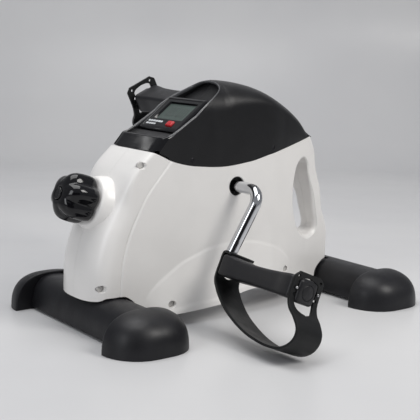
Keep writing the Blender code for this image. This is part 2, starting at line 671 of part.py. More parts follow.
def make_frame():
    """Base plate on the bars, and the two plates that carry the shafts."""
    base_low = BAR_BOTTOM + BAR_SIZE[2] + GAP
    half = 33 * MM
    outline = [(-207, -30), (-170, -33), (110, -33), (165, -11), (215, -11)]
    outline += [(x, -y) for x, y in reversed(outline)]
    curve = bpy.data.curves.new("base_plate", "CURVE")
    curve.dimensions = "2D"
    curve.fill_mode = "BOTH"
    curve.extrude = 2 * MM
    spline = curve.splines.new("POLY")
    spline.points.add(len(outline) - 1)
    for point, (x, y) in zip(spline.points, outline):
        point.co = (x * MM, y * MM, 0, 1)
    spline.use_cyclic_u = True
    base = curve_solid("base_plate", curve, Matrix.Translation((0, 0, base_low + 2 * MM)), PAINTED_STEEL)
    anchor = box("spring_anchor", (-196 * MM, -20 * MM, base_low + 1 * MM),
                 (-192 * MM, 0, 112 * MM), cutter=True)
    boolean(base, anchor, "UNION")
    for bar_x in (FRONT_BAR_X, REAR_BAR_X):
        bolt_hole = cylinder("base_bolt_hole", 4.3 * MM, (bar_x, 0, 20 * MM), (bar_x, 0, 60 * MM),
                             cutter=True, sides=12)
        boolean(base, bolt_hole)

    foot = base_low + 4 * MM + GAP
    plate_outline = [(-178 * MM, foot), (70 * MM, foot), (22 * MM, CRANK_Z + 6 * MM)]
    plate_outline += arc((CRANK_X, CRANK_Z), 30 * MM, 20, 130, 7)
    plate_outline += [(-120 * MM, 132 * MM), (-178 * MM, 86 * MM)]
    for side, sign in SIDES:
        y_low, y_high = sorted((sign * PLATE_Y, sign * (PLATE_Y + PLATE_THICKNESS)))
        plate = prism("frame_plate_" + side, plate_outline, y_low, y_high, PAINTED_STEEL)
        for x, z, radius in ((CRANK_X, CRANK_Z, 21), (FLYWHEEL_X, FLYWHEEL_Z, 11)):
            hole = cylinder("bearing_hole", radius * MM + GAP, (x, -0.1, z), (x, 0.1, z), cutter=True)
            boolean(plate, hole)
        y_low, y_high = sorted((sign * (PLATE_Y - 2 * MM), sign * (PLATE_Y + 6 * MM)))
        ring("crank_bearing_" + side, 12.3 * MM, 21 * MM, CRANK_X, y_low, y_high, CRANK_Z, STEEL)
        ring("flywheel_bearing_" + side, 5.3 * MM, 11 * MM, FLYWHEEL_X, y_low, y_high, FLYWHEEL_Z, STEEL, 16)


# ---------------------------------------------------------------- drive
def make_drive():
    """Pulleys, belt, flywheel and the speed pick-up."""
    for name, radius, bore, x, z in (
        ("drive_pulley", PULLEY_RADIUS, 12.3 * MM, CRANK_X, CRANK_Z),
        ("flywheel_pulley", SMALL_PULLEY_RADIUS, 5.3 * MM, FLYWHEEL_X, FLYWHEEL_Z),
    ):
        rim = radius + 2 * MM
        profile = [(rim, 7 * MM), (rim, 5.5 * MM), (radius, 5 * MM), (radius, -5 * MM), (rim, -5.5 * MM),
                   (rim, -7 * MM), (bore, -7 * MM), (bore, 7 * MM)]
        place = Matrix.Translation((x, BELT_Y, z)) @ Matrix.Rotation(-math.pi / 2, 4, "X")
        turned(name, profile, place, PULLEY_PLASTIC, 32 if radius > 0.03 else 20)
    ring("flywheel", 5.3 * MM, FLYWHEEL_RADIUS, FLYWHEEL_X, -18 * MM, -6 * MM, FLYWHEEL_Z, CAST_IRON, 36)
    cylinder("flywheel_axle", 5 * MM, (FLYWHEEL_X, -36 * MM, FLYWHEEL_Z), (FLYWHEEL_X, 36 * MM, FLYWHEEL_Z),
             STEEL, sides=16)

    def loop(offset):
        dx = FLYWHEEL_X - CRANK_X
        dz = FLYWHEEL_Z - CRANK_Z
        distance = math.hypot(dx, dz)
        lean = math.degrees(math.atan2(dz, dx))
        open_angle = math.degrees(math.acos((PULLEY_RADIUS - SMALL_PULLEY_RADIUS) / distance))
        big = arc((CRANK_X, CRANK_Z), PULLEY_RADIUS + offset, lean + open_angle, lean + 360 - open_angle, 24)
        small = arc((FLYWHEEL_X, FLYWHEEL_Z), SMALL_PULLEY_RADIUS + offset,
                    lean - open_angle, lean + open_angle, 10)
        return big + small

    belt = prism("drive_belt", loop(2.3 * MM), BELT_Y - 4.5 * MM, BELT_Y + 4.5 * MM, BELT_RUBBER)
    boolean(belt, prism("belt_inside", loop(0.5 * MM), -0.05, 0.05, cutter=True))
    reach = 46 * MM
    magnet_x = CRANK_X + reach * math.cos(math.radians(-35))
    magnet_z = CRANK_Z + reach * math.sin(math.radians(-35))
    face = BELT_Y + 7 * MM
    cylinder("pulley_magnet", 2.5 * MM, (magnet_x, face + 0.2 * MM, magnet_z),
             (magnet_x, face + 1.2 * MM, magnet_z), MAGNET, sides=10)
    sensor_y = PLATE_Y - GAP
    box("speed_sensor", (magnet_x + 3 * MM, sensor_y - 2.2 * MM, magnet_z - 12 * MM),
        (magnet_x + 15 * MM, sensor_y, magnet_z + 2 * MM), PULLEY_PLASTIC)


def bend(corner, arriving, leaving, radius, steps=6):
    """Points along the arc that rounds a corner between two directions."""
    turn = arriving.angle(leaving)
    start = corner - arriving * radius * math.tan(turn / 2)
    centre = corner + (leaving - arriving).normalized() * radius / math.cos(turn / 2)
    axis = arriving.cross(leaving)
    arms = (Matrix.Rotation(turn * i / steps, 3, axis) @ (start - centre) for i in range(steps + 1))
    return [centre + arm for arm in arms]


def crank_points(sign):
    """Centre line of one bent crank rod, from inside the axle to the end of the pedal."""
    towards = Vector((-math.sin(CRANK_ANGLE), 0, -math.cos(CRANK_ANGLE)))
    if sign > 0:
        towards = -towards
    out = Vector((0, sign, 0))
    hub = Vector((CRANK_X, 0, CRANK_Z))
    pin = hub + towards * CRANK_RADIUS
    corner_a = hub + out * HUB_CORNER_Y
    corner_b = pin + out * PIN_CORNER_Y
    arm = (corner_b - corner_a).normalized()
    points = [hub + out * 12 * MM]
    points += bend(corner_a, out, arm, HUB_BEND_RADIUS)
    points += bend(corner_b, arm, out, PIN_BEND_RADIUS)
    points.append(pin + out * ROD_END_Y)
    return points, pin


# Pedal in its own frame: v outwards along its axle from the crank, w across, s towards the strap.
STRAP_THICKNESS = 3.4 * MM
STRAP_HALF_WIDTH = 21 * MM
# The pedal and its strap sit this much above the middle of the axle; their heights are given without it.
PEDAL_LIFT = 4 * MM
# How far the hoop reaches up: the left strap is hooked one pair of holes tighter.
HOOP_TOP = {"right": 18 * MM, "left": 26 * MM}
HOOP_BAR = 6 * MM
HOLES_BELOW_TOP = (6 * MM, 20 * MM, 28 * MM)
HOLE_ACROSS = 18 * MM
PEG_HEIGHT = -2 * MM
# Strap centre line (distance out from the body's middle, drop below the axle), in millimetres.
STRAP_PATH = [
    (134, -14.5), (120, -15), (110, -15), (106.3, -13), (105.4, -8), (105.6, 0), (105.4, 12),
    (106.2, 20), (109, 26), (114, 31.5), (124.5, 41), (144, 54), (169, 65), (193, 72.5), (215, 76.3),
    (236, 77.8), (256, 75.5), (269.5, 68), (276, 57.5), (275, 46), (265.5, 35), (255, 26.5),
    (249.5, 17), (248, 6), (248, -6),
]


def pedal_frame(sign, pin):
    """World matrix of a pedal: local X across the foot, local Y outwards, local Z away from the strap."""
    tilt = PEDAL_TILT if sign < 0 else -PEDAL_TILT - math.radians(3)
    return Matrix.Translation((pin.x, 0, pin.z)) @ Matrix.Rotation(tilt, 4, "Y")


def make_pedal(side, sign, pin):
    """Waisted pedal with an end block and pegs, its rubber strap and the nut on the axle."""
    axle_place = pedal_frame(sign, pin)
    place = axle_place @ Matrix.Translation((0, 0, PEDAL_LIFT))
    stations = [(108, 22), (118, 22), (140, 19.5), (175, 17.5), (210, 18.5), (232, 21.5), (243, 22)]
    rings = []
    for v, half in stations:
        a, top, low, c = half * MM, 12 * MM, -17 * MM, 4 * MM
        section = [(-a, low + c), (-a + c, low), (a - c, low), (a, low + c), (a, top - c), (a - c, top),
                   (-a + c, top), (-a, top - c)]
        rings.append([Vector((x, sign * v * MM, z)) for x, z in section])
    pedal = loft(side + "_pedal", rings, PEDAL_PLASTIC)
    pedal.data.transform(place)
    y_low, y_high = sorted((sign * 240 * MM, sign * 253 * MM))
    block = box(side + "_end_block", (-14 * MM, y_low, -16 * MM), (14 * MM, y_high, 10 * MM), cutter=True)
    pieces = [block]
    for i, x in enumerate((-HOLE_ACROSS, HOLE_ACROSS)):
        pieces.append(cylinder(f"{side}_peg_{i}", 2 * MM, (x, sign * 240 * MM, PEG_HEIGHT),
                               (x, sign * 252.5 * MM, PEG_HEIGHT), cutter=True, sides=8))
    for piece in pieces:
        piece.data.transform(place)
        boolean(pedal, piece, "UNION")
    axle = cylinder(side + "_axle_bore", ROD_RADIUS + GAP, (0, sign * 90 * MM, 0),
                    (0, sign * 236 * MM, 0), cutter=True)
    axle.data.transform(axle_place)
    boolean(pedal, axle)
    bend_well = cylinder(side + "_bend_well", 14 * MM, (0, sign * 102 * MM, 0), (0, sign * 112 * MM, 0),
                         cutter=True, end_radius=8.2 * MM)
    bend_well.data.transform(axle_place)
    boolean(pedal, bend_well)
    well = cylinder(side + "_nut_well", 9.5 * MM, (0, sign * 235.5 * MM, 0), (0, sign * 0.27, 0),
                    cutter=True, sides=16)
    well.data.transform(axle_place)
    boolean(pedal, well)

    top = HOOP_TOP[side]
    strap = strap_solid(side + "_strap", sign, top)
    window_y = sorted((sign * 244 * MM, sign * 275 * MM))
    window = box(side + "_fork", (-14.6 * MM, window_y[0], -30 * MM),
                 (14.6 * MM, window_y[1], top - HOOP_BAR), cutter=True)
    holes = [window]
    for below in HOLES_BELOW_TOP:
        z = top - below
        for x in (-HOLE_ACROSS, HOLE_ACROSS):
            holes.append(cylinder(f"{side}_strap_hole_{len(holes)}", 2.3 * MM, (x, sign * 242 * MM, z),
                                  (x, sign * 256 * MM, z), cutter=True, sides=8))
    eye = cylinder(side + "_strap_eye", 14.5 * MM, (0, sign * 98 * MM, 0), (0, sign * 110 * MM, 0),
                   cutter=True, sides=20)
    eye.data.transform(Matrix.Translation((0, 0, -PEDAL_LIFT)))
    holes.append(eye)
    strap.data.transform(place)
    for hole in holes:
        hole.data.transform(place)
        boolean(strap, hole)
    nut = cylinder(side + "_pedal_nut", 8.5 * MM, (0, sign * 235.8 * MM, 0),
                   (0, sign * 241 * MM, 0), STEEL, sides=6)
    nut.data.transform(axle_place)


def strap_solid(name, sign, top):
    """The strap as a band of constant thickness along its centre line, up to the top of its hoop."""
    path = [Vector((v * MM, -s * MM)) for v, s in STRAP_PATH] + [Vector((248 * MM, top))]
    outer = []
    inner = []
    for i, point in enumerate(path):
        before = path[max(i - 1, 0)]
        after = path[min(i + 1, len(path) - 1)]
        tangent = (after - before).normalized()
        normal = Vector((-tangent.y, tangent.x))
        outer.append(point + normal * STRAP_THICKNESS / 2)
        inner.append(point - normal * STRAP_THICKNESS / 2)
    rings = []
    for a, b in zip(outer, inner):
        w = STRAP_HALF_WIDTH
        corners = ((a, -w), (a, w), (b, w), (b, -w))
        rings.append([Vector((x, sign * p.x, p.y)) for p, x in corners])
    # the hoop at the outer end is wider than the band
    for ring_points in rings[-5:]:
        for point in ring_points:
            point.x *= 1.12
    return loft(name, rings, STRAP_RUBBER)


def make_crank():
    """Axle tube, the two bent rods with their pins, and both pedals."""
    ring("crank_axle", ROD_RADIUS + GAP, 12 * MM, CRANK_X, -38 * MM, 38 * MM, CRANK_Z, STEEL)
    axle = bpy.data.objects["crank_axle"]
    for side, sign in SIDES:
        points, pin = crank_points(sign)
        crank = rod(side + "_crank", points, ROD_RADIUS, CHROME, 3)
        hole = cylinder(side + "_pin_hole", 2.3 * MM, (CRANK_X, sign * 22 * MM, CRANK_Z - 0.02),
                        (CRANK_X, sign * 22 * MM, CRANK_Z + 0.02), cutter=True, sides=10)
        boolean(crank, hole)
        boolean(axle, hole)
        cylinder(side + "_crank_pin", 2 * MM, (CRANK_X, sign * 22 * MM, CRANK_Z - 12 * MM),
                 (CRANK_X, sign * 22 * MM, CRANK_Z + 12 * MM), STEEL, sides=10)
        make_pedal(side, sign, pin)


make_body()
make_screws()
make_knob()
make_brake()
make_monitor()
make_feet()
make_frame()
make_drive()
make_crank()
bpy.context.view_layer.update()
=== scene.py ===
import json
import math

import bmesh
import bpy
import numpy as np
from mathutils import Matrix, Quaternion, Vector


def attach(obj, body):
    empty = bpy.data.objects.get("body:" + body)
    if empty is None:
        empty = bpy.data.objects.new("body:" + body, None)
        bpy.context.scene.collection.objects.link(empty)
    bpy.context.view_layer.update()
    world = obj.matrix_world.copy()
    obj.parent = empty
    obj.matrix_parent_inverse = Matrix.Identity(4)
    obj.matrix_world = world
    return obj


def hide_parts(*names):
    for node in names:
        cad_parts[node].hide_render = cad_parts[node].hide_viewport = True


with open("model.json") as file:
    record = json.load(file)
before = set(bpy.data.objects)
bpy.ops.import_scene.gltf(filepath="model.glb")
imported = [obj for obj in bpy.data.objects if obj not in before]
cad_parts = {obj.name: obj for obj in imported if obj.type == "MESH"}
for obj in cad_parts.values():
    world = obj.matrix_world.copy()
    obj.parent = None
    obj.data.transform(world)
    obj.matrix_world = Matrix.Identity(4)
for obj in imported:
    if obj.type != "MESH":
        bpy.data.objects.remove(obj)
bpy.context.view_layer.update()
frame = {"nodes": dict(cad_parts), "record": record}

MM = 0.001
SIDES = (("right", -1), ("left", 1))
SCENE = bpy.context.scene

# ---- main sizes, in millimetres
BODY_HALF_WIDTH = 52
WALL = 3
SHELL_GAP = 0.15
CRANK_X = -10
CRANK_Z = 177
CRANK_RADIUS = 109
CRANK_ANGLE = math.radians(26.6)
ROD_RADIUS = 7.75
HUB_CORNER_Y = 104.5
PIN_CORNER_Y = 92.5
HUB_BEND_RADIUS = 20
PIN_BEND_RADIUS = 15
ROD_END_Y = 235
CRANK_HOLE_RADIUS = 13
KNOB_BASE = Vector((-194, 0, 159))
KNOB_TILT = math.radians(18)
KNOB_LOBES = 6
LOBE_TURN = math.radians(47)
MONITOR_LOW = Vector((-105.9, 0, 253.7))
MONITOR_HIGH = Vector((-56.9, 0, 292.3))
MONITOR_HALF_HEIGHT = 32.3
MONITOR_HALF_WIDTH = 45
BUTTON_ALONG = (-24.5, -14.5)
BUTTON_ACROSS = (-22.5, -9)
BARS = {"front": -199, "rear": 207}
BAR_SLOT = {"front": 34, "rear": 13}
BAR_COVER_END_Y = 111.7
BAR_COVER_HALF_WIDTH = 33
BAR_COVER_HEIGHT = 46
BAR_COVER_WALL = 2.5
BAR_COVER_LIFT = 3
CAP_INNER_Y = 112
CAP_LENGTH = 52
CAP_HALF_WIDTH = 57
CAP_HEIGHT = 49
CAP_RIM = 2.2
PLUG_RADIUS = 4.1
PLUG_STRETCH = 1.25

# ---- side view outlines, (x, z) in millimetres
FRONT_EDGE = [(-230, 42), (-230, 56), (-229, 80), (-224, 105), (-215, 131), (-198, 163),
              (-180, 196), (-165.5, 213.5), (-148.5, 229.5)]
S_CREASE = [(-193, 47.5), (-189.5, 89), (-180.5, 122), (-167.5, 150), (-152, 177), (-118, 216.8)]
TAIL_CREASE = [(49, 33.5), (50, 118), (52, 202), (52, 217.7)]
REAR_EDGE = [(201, 49), (201, 84), (200, 94), (195, 110), (188, 126), (183, 155), (168, 190),
             (163, 213), (148, 236.5)]
SKIRT = [(-230, 42), (-220, 44), (-210, 48), (-188, 48), (-176, 42), (-166, 30), (-162, 17),
         (-116, 17), (-42, 20), (-6, 31), (21, 34), (60, 33), (100, 24), (135, 18), (169, 18),
         (173, 32), (182, 42), (192, 48), (201, 49)]
PARTING = [(-148.5, 229.3), (-144, 228), (-111, 214), (-79, 207.5), (-35, 204.5), (13, 209),
           (48, 217), (92, 226), (148, 236.5)]
BULGE = [(-158, 20), (-156, 36), (-141, 55), (-117, 72), (-96, 84), (-75, 91), (-56, 97),
         (-20, 101), (13, 100), (49, 92), (72, 83), (90, 70), (99, 60), (106, 40), (110, 20)]
HANDLE = [(112, 196), (105, 173), (104, 150), (107, 130), (116, 110), (132, 95), (150, 89),
          (164, 94), (168, 104), (162, 128), (156, 152), (143, 182), (139, 198), (127, 206)]
DOME = [(-22, 316.0), (-12, 316.5), (14, 313.7), (41, 307.5), (67, 297), (94, 282.8), (118, 267),
        (134, 252.5), (143.5, 243), (148, 236.5)]
# the cover's upper edge from the front ledge, beside the monitor, up to the front of the hood
HOOD_EDGE = [(-131.5, 244.6), (-122, 247.2), (-110, 252.3), (-97, 260.2), (-84, 268.6), (-77, 273.2),
             (-69, 280.2), (-58, 288.2), (-46, 295.4), (-34.5, 302.2), (-27, 307.6), (-23.6, 311.8),
             (-22.3, 314.4), (-22, 316.0)]
SHELL_SCREWS = [(-162, 213), (-217, 60), (-118, 30), (88, 50)]
COVER_SCREWS = [(-84, 216), (54, 226)]


# ---- numbers and curves
def smoothstep(low, high, x):
    t = np.clip((np.asarray(x, float) - low) / (high - low), 0, 1)
    return t * t * (3 - 2 * t)


def table(points, x):
    """Piecewise cubic through a table of (x, value) pairs that never overshoots it."""
    xs = np.array([p[0] for p in points], float)
    ys = np.array([p[1] for p in points], float)
    gaps = np.diff(xs)
    slopes = np.diff(ys) / gaps
    tangents = np.zeros(len(xs))
    same = slopes[:-1] * slopes[1:] > 0
    inner = np.zeros(len(xs) - 2)
    inner[same] = 2 * slopes[:-1][same] * slopes[1:][same] / (slopes[:-1][same] + slopes[1:][same])
    tangents[1:-1] = inner
    tangents[0] = slopes[0]
    tangents[-1] = slopes[-1]
    x = np.clip(np.asarray(x, float), xs[0], xs[-1])
    i = np.clip(np.searchsorted(xs, x) - 1, 0, len(gaps) - 1)
    t = (x - xs[i]) / gaps[i]
    return ((2 * t**3 - 3 * t**2 + 1) * ys[i] + (t**3 - 2 * t**2 + t) * gaps[i] * tangents[i]
            + (3 * t**2 - 2 * t**3) * ys[i + 1] + (t**3 - t**2) * gaps[i] * tangents[i + 1])


def spline(points, closed=False, steps=12):
    """Catmull-Rom curve through points of any dimension, as an array."""
    p = np.array(points, float)
    if closed:
        p = np.vstack([p[-1], p, p[0], p[1]])
    else:
        p = np.vstack([2 * p[0] - p[1], p, 2 * p[-1] - p[-2]])
    out = []
    for a, b, c, d in zip(p, p[1:], p[2:], p[3:]):
        for t in np.arange(steps) / steps:
            out.append(0.5 * (2 * b + (c - a) * t + (2 * a - 5 * b + 4 * c - d) * t * t
                              + (3 * b - a - 3 * c + d) * t**3))
    if not closed:
        out.append(p[-2])
    return np.array(out)


def spaced(points, shares):
    """Points at these shares of a polyline's length."""
    p = np.asarray(points, float)
    length = np.concatenate([[0], np.cumsum(np.linalg.norm(np.diff(p, axis=0), axis=1))])
    at = np.asarray(shares, float) * length[-1]
    return np.stack([np.interp(at, length, p[:, k]) for k in range(p.shape[1])], axis=1)


def evenly(points, count):
    """A polyline as count evenly spaced points."""
    return spaced(points, np.linspace(0, 1, count))


def even_curve(points, count, closed=False):
    """A smooth curve through points, as count evenly spaced points."""
    curve = spline(points, closed)
    if closed:
        return spaced(np.vstack([curve, curve[0]]), np.arange(count) / count)
    return evenly(curve, count)


# ---- meshes
def new_object(name, verts, faces, smooth):
    """A mesh from points in millimetres."""
    mesh = bpy.data.meshes.new(name)
    mesh.from_pydata([tuple(float(c) * MM for c in v) for v in verts], [], faces)
    mesh.validate()
    obj = bpy.data.objects.new(name, mesh)
    SCENE.collection.objects.link(obj)
    shade(obj, smooth)
    return obj


def shade(obj, angle):
    """Smooth shading, with sharp edges where faces meet at more than the angle in degrees."""
    obj.data.polygons.foreach_set("use_smooth", [True] * len(obj.data.polygons))
    if angle:
        obj.data.set_sharp_from_angle(angle=math.radians(angle))


def grid_faces(rows, cols, wrap=False, flip=False, start=0):
    """Quads over a grid of rows x cols points, row by row; wrap joins the last column to the first."""
    faces = []
    for r in range(rows - 1):
        for c in range(cols if wrap else cols - 1):
            a = start + r * cols + c
            b = start + r * cols + (c + 1) % cols
            quad = (a, b, b + cols, a + cols)
            faces.append(quad[::-1] if flip else quad)
    return faces


def loft(name, rings, flip=False, smooth=35):
    """A skin over rings of equally many points, closed at both ends."""
    cols = len(rings[0])
    verts = [p for ring in rings for p in ring]
    faces = grid_faces(len(rings), cols, True, flip)
    first = tuple(range(cols))
    last = tuple(range(len(verts) - cols, len(verts)))
    faces += [first, last[::-1]] if flip else [first[::-1], last]
    obj = new_object(name, verts, faces, smooth)
    fix_normals(obj, smooth)
    return obj


def fix_normals(obj, smooth, merge=0.0):
    """Turns all faces outwards, after joining points that lie within the merge distance."""
    bm = bmesh.new()
    bm.from_mesh(obj.data)
    if merge:
        bmesh.ops.remove_doubles(bm, verts=bm.verts, dist=merge * MM)
    bmesh.ops.recalc_face_normals(bm, faces=bm.faces)
    bm.to_mesh(obj.data)
    bm.free()
    shade(obj, smooth)


def lathe(name, profile, place, sides=64, smooth=35, waist=None):
    """Turns an (along, radius) profile about the place matrix's Z axis; waist may vary the radius."""
    rings = []
    for along, radius in profile:
        ring = []
        for k in range(sides):
            angle = 2 * math.pi * k / sides
            r = radius if waist is None else waist(radius, angle)
            ring.append(place @ Vector((r * math.cos(angle), r * math.sin(angle), along)))
        rings.append(ring)
    return loft(name, rings, smooth=smooth)


def cut(obj, *cutters, operation="DIFFERENCE"):
    """Cuts other objects out of one, or joins them to it, and removes them."""
    for cutter in cutters:
        m = obj.modifiers.new("cut", "BOOLEAN")
        m.operation = operation
        m.solver = "EXACT"
        m.object = cutter
        freeze(obj)
        bpy.data.objects.remove(cutter)


def freeze(obj):
    """Turns the object's modifiers into mesh."""
    bpy.context.view_layer.update()
    evaluated = obj.evaluated_get(bpy.context.evaluated_depsgraph_get())
    mesh = bpy.data.meshes.new_from_object(evaluated)
    obj.modifiers.clear()
    obj.data = mesh


def soft_edges(obj, width, segments, angle):
    """Bevels every edge that is sharper than the angle in degrees."""
    m = obj.modifiers.new("bevel", "BEVEL")
    m.width = width * MM
    m.segments = segments
    m.limit_method = "ANGLE"
    m.angle_limit = math.radians(angle)
    m.harden_normals = False
    freeze(obj)
    shade(obj, 50)


def rounded_rectangle(x0, x1, y0, y1, radius, per_corner):
    """Points round a rectangle whose corners are arcs."""
    points = []
    for x, y, start in ((x1 - radius, y1 - radius, 0), (x0 + radius, y1 - radius, 90),
                        (x0 + radius, y0 + radius, 180), (x1 - radius, y0 + radius, 270)):
        for angle in np.radians(np.linspace(start, start + 90, per_corner)):
            points.append((x + radius * math.cos(angle), y + radius * math.sin(angle)))
    return points


# ---- materials
class Nodes:
    """A short way to write a node material."""

    def __init__(self, name):
        self.mat = bpy.data.materials.new(name)
        self.mat.use_nodes = True
        self.tree = self.mat.node_tree
        self.shader = self.tree.nodes["Principled BSDF"]
        self.coords = self.tree.nodes.new("ShaderNodeTexCoord").outputs["Object"]

    def feed(self, socket, value):
        """Links another node's output to a socket, or sets the socket's value."""
        if isinstance(value, bpy.types.NodeSocket):
            self.tree.links.new(value, socket)
        else:
            socket.default_value = (*value, 1.0) if socket.type == "RGBA" else value

    def set(self, node=None, **values):
        """Feeds the inputs of a node, by default the shader; returns the material."""
        for key, value in values.items():
            self.feed((node or self.shader).inputs[key.replace("_", " ")], value)
        return self.mat

    def node(self, kind, **values):
        n = self.tree.nodes.new(kind)
        self.set(n, **values)
        return n

    def noise(self, scale, detail=3.0, roughness=0.55, stretch=None):
        coords = self.coords
        if stretch:
            coords = self.node("ShaderNodeMapping", Vector=coords, Scale=stretch).outputs[0]
        n = self.node("ShaderNodeTexNoise", Vector=coords, Scale=scale, Detail=detail, Roughness=roughness)
        return n.outputs["Fac"]

    def ramp(self, value, low, high, out_low=0.0, out_high=1.0):
        n = self.node("ShaderNodeMapRange", Value=value, From_Min=low, From_Max=high,
                      To_Min=out_low, To_Max=out_high)
        n.interpolation_type = "SMOOTHSTEP"
        return n.outputs["Result"]

    def mix(self, factor, a, b):
        n = self.tree.nodes.new("ShaderNodeMix")
        n.data_type = "RGBA"
        # inputs 6 and 7 are the node's two colours
        for index, value in ((0, factor), (6, a), (7, b)):
            self.feed(n.inputs[index], value)
        return n.outputs[2]

    def bump(self, height, distance, strength=1.0, normal=None):
        n = self.node("ShaderNodeBump", Height=height, Distance=distance, Strength=strength)
        if normal is not None:
            self.feed(n.inputs["Normal"], normal)
        return n.outputs["Normal"]


def plastic(name, colour, roughness, grain=0.0, grain_size=0.5, ripple=0.0, cloud=0.06, dust=0.0,
            worn=0.0, specular=0.5, smear=0.14):
    """Moulded plastic: slight clouding, a moulded grain, polish marks, dust and rubbed edges."""
    m = Nodes(name)
    cloudy = m.noise(22, 4)
    dark = tuple(c * (1 - cloud) for c in colour)
    light = tuple(min(1.0, c * (1 + cloud)) for c in colour)
    base = m.mix(m.ramp(cloudy, 0.35, 0.65), dark, light)
    if dust:
        specks = m.ramp(m.noise(900, 2, 0.7), 0.66, 0.74, 0.0, dust)
        base = m.mix(specks, base, (0.55, 0.54, 0.52))
    if worn:
        edge = m.node("ShaderNodeNewGeometry").outputs["Pointiness"]
        rubbed = m.ramp(edge, 0.53, 0.60, 0.0, worn)
        base = m.mix(rubbed, base, tuple(min(1.0, c * 2.2 + 0.04) for c in colour))
    polish = m.ramp(m.noise(60, 5, 0.6, (1.0, 1.0, 0.35)), 0.3, 0.7,
                    roughness * (1 - smear), roughness * (1 + smear))
    normal = None
    if ripple:
        normal = m.bump(m.noise(38, 2, 0.4), ripple * MM, 0.5)
    if grain:
        cells = m.node("ShaderNodeTexVoronoi", Vector=m.coords, Scale=1000 / grain_size).outputs["Distance"]
        normal = m.bump(cells, grain * MM, 0.7, normal)
    if normal is not None:
        m.set(Normal=normal)
    return m.set(Base_Color=base, Roughness=polish, IOR=1.5, Specular_IOR_Level=specular)


def metal(name, colour, roughness, brush=0.0, direction=(1.0, 1.0, 12.0), stain=0.15, bump=0.02):
    """Metal with fine scratches along one direction and a faint tarnish."""
    m = Nodes(name)
    scratch = m.noise(700, 6, 0.7, direction)
    tarnish = m.ramp(m.noise(35, 5, 0.6), 0.4, 0.75)
    base = m.mix(tarnish, colour, tuple(c * (1 - stain) for c in colour))
    rough = m.ramp(scratch, 0.3, 0.75, roughness * 0.8, roughness * 1.3 + brush)
    m.set(Normal=m.bump(scratch, bump * MM, 0.35))
    return m.set(Base_Color=base, Roughness=rough, Metallic=1.0)


# the look of each material slot
LOOKS = {
    "white_shell": plastic("white_abs", (0.80, 0.785, 0.765), 0.30, grain=0.010, grain_size=0.9,
                           ripple=0.02, cloud=0.012, dust=0.03, smear=0.05),
    "black_cover": plastic("textured_black_abs", (0.008, 0.008, 0.009), 0.36, grain=0.05,
                           grain_size=0.55, cloud=0.12, dust=0.05, worn=0.06, specular=0.30),
    "gloss_black": plastic("polished_black", (0.004, 0.004, 0.005), 0.07, ripple=0.03, cloud=0.1,
                           dust=0.04, worn=0.03, specular=0.4),
    "foot_plastic": plastic("foot_plastic", (0.010, 0.010, 0.012), 0.42, grain=0.04, grain_size=0.7,
                            ripple=0.10, cloud=0.14, dust=0.05, worn=0.06, specular=0.30),
    "pedal_plastic": plastic("pedal_plastic", (0.012, 0.012, 0.014), 0.40, grain=0.04, grain_size=0.6,
                             cloud=0.12, dust=0.06, worn=0.10, specular=0.35),
    "strap_rubber": plastic("strap_rubber", (0.007, 0.0075, 0.008), 0.42, grain=0.03, grain_size=0.35,
                            ripple=0.06, cloud=0.16, dust=0.05, worn=0.05, specular=0.28),
    "pulley_plastic": plastic("pulley_nylon", (0.07, 0.07, 0.08), 0.45, grain=0.03, cloud=0.1),
    "belt_rubber": plastic("belt_rubber", (0.015, 0.015, 0.015), 0.75, grain=0.04, grain_size=0.4,
                           cloud=0.15),
    "painted_steel": plastic("powder_coat", (0.02, 0.02, 0.022), 0.5, grain=0.05, cloud=0.1, worn=0.3),
    "red_button": plastic("red_silicone", (0.48, 0.012, 0.018), 0.38, grain=0.01, grain_size=0.3,
                          cloud=0.08),
    "lcd_glass": plastic("display_glass", (0.056, 0.076, 0.068), 0.22, ripple=0.02),
    "chrome": metal("chrome_plate", (0.62, 0.63, 0.65), 0.07, stain=0.06, bump=0.004),
    "steel": metal("zinc_steel", (0.42, 0.42, 0.43), 0.32, brush=0.08),
    "cast_iron": metal("cast_iron", (0.17, 0.17, 0.175), 0.48, brush=0.1, direction=(1.0, 14.0, 1.0),
                       bump=0.05),
    "magnet": metal("nickel_magnet", (0.60, 0.59, 0.57), 0.22),
}
# looks that single pieces have instead of their slot's
# the rim bead is the black cover's plastic coloured a lighter grey: a painted highlight along the bead
RIM_PAINTED_HIGHLIGHT = plastic("rim_painted_highlight", (0.060, 0.061, 0.066), 0.30, ripple=0.02, worn=0.03, specular=0.6)
# the plugs are the white shell's plastic darkened to grey: painted shade of the recesses they sit in
PLUG_PAINTED_SHADE = plastic("plug_painted_shade", (0.50, 0.49, 0.475), 0.45, grain=0.01, grain_size=0.4, cloud=0.03)
BLACKED = metal("blackened_steel", (0.035, 0.035, 0.038), 0.45)
DISPLAY_INK = plastic("display_ink", (0.030, 0.038, 0.034), 0.4, cloud=0.1)
PRINT = plastic("printed_marks", (0.62, 0.64, 0.66), 0.5, cloud=0.15)


def finish_piece(obj, body, slot, *nodes, look=None):
    """Gives a piece its look, by default its slot's, puts it on its body and hides the CAD nodes that it
    stands in for.
    """
    obj.data.materials.clear()
    obj.data.materials.append(look or LOOKS[slot])
    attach(obj, body)
    if nodes:
        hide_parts(*nodes)


def dress_cad_nodes():
    """Gives every CAD node that still shows the look of its slot."""
    slots = {row["node"]: row["material_slot"] for row in frame["record"]["subparts"]}
    for name, node in frame["nodes"].items():
        node.data.materials.clear()
        node.data.materials.append(LOOKS[slots[name]])


# ---- white shells
# distances from the crease at which the skin has extra columns
CREASE_STEPS = (-1.4, -0.7, 0.0, 0.6, 1.2, 1.9, 2.8, 3.8)
SLIDER_ROOM_RADIUS = 13
SCREW_BORE_RADIUS = 7


def body_width(x):
    """Half width of the body along X, without creases or flares."""
    return table([(-230, 52), (49, 52), (80, 46), (110, 37.5), (140, 27), (160, 20), (175, 16.5),
                  (190, 15), (202, 14)], x)


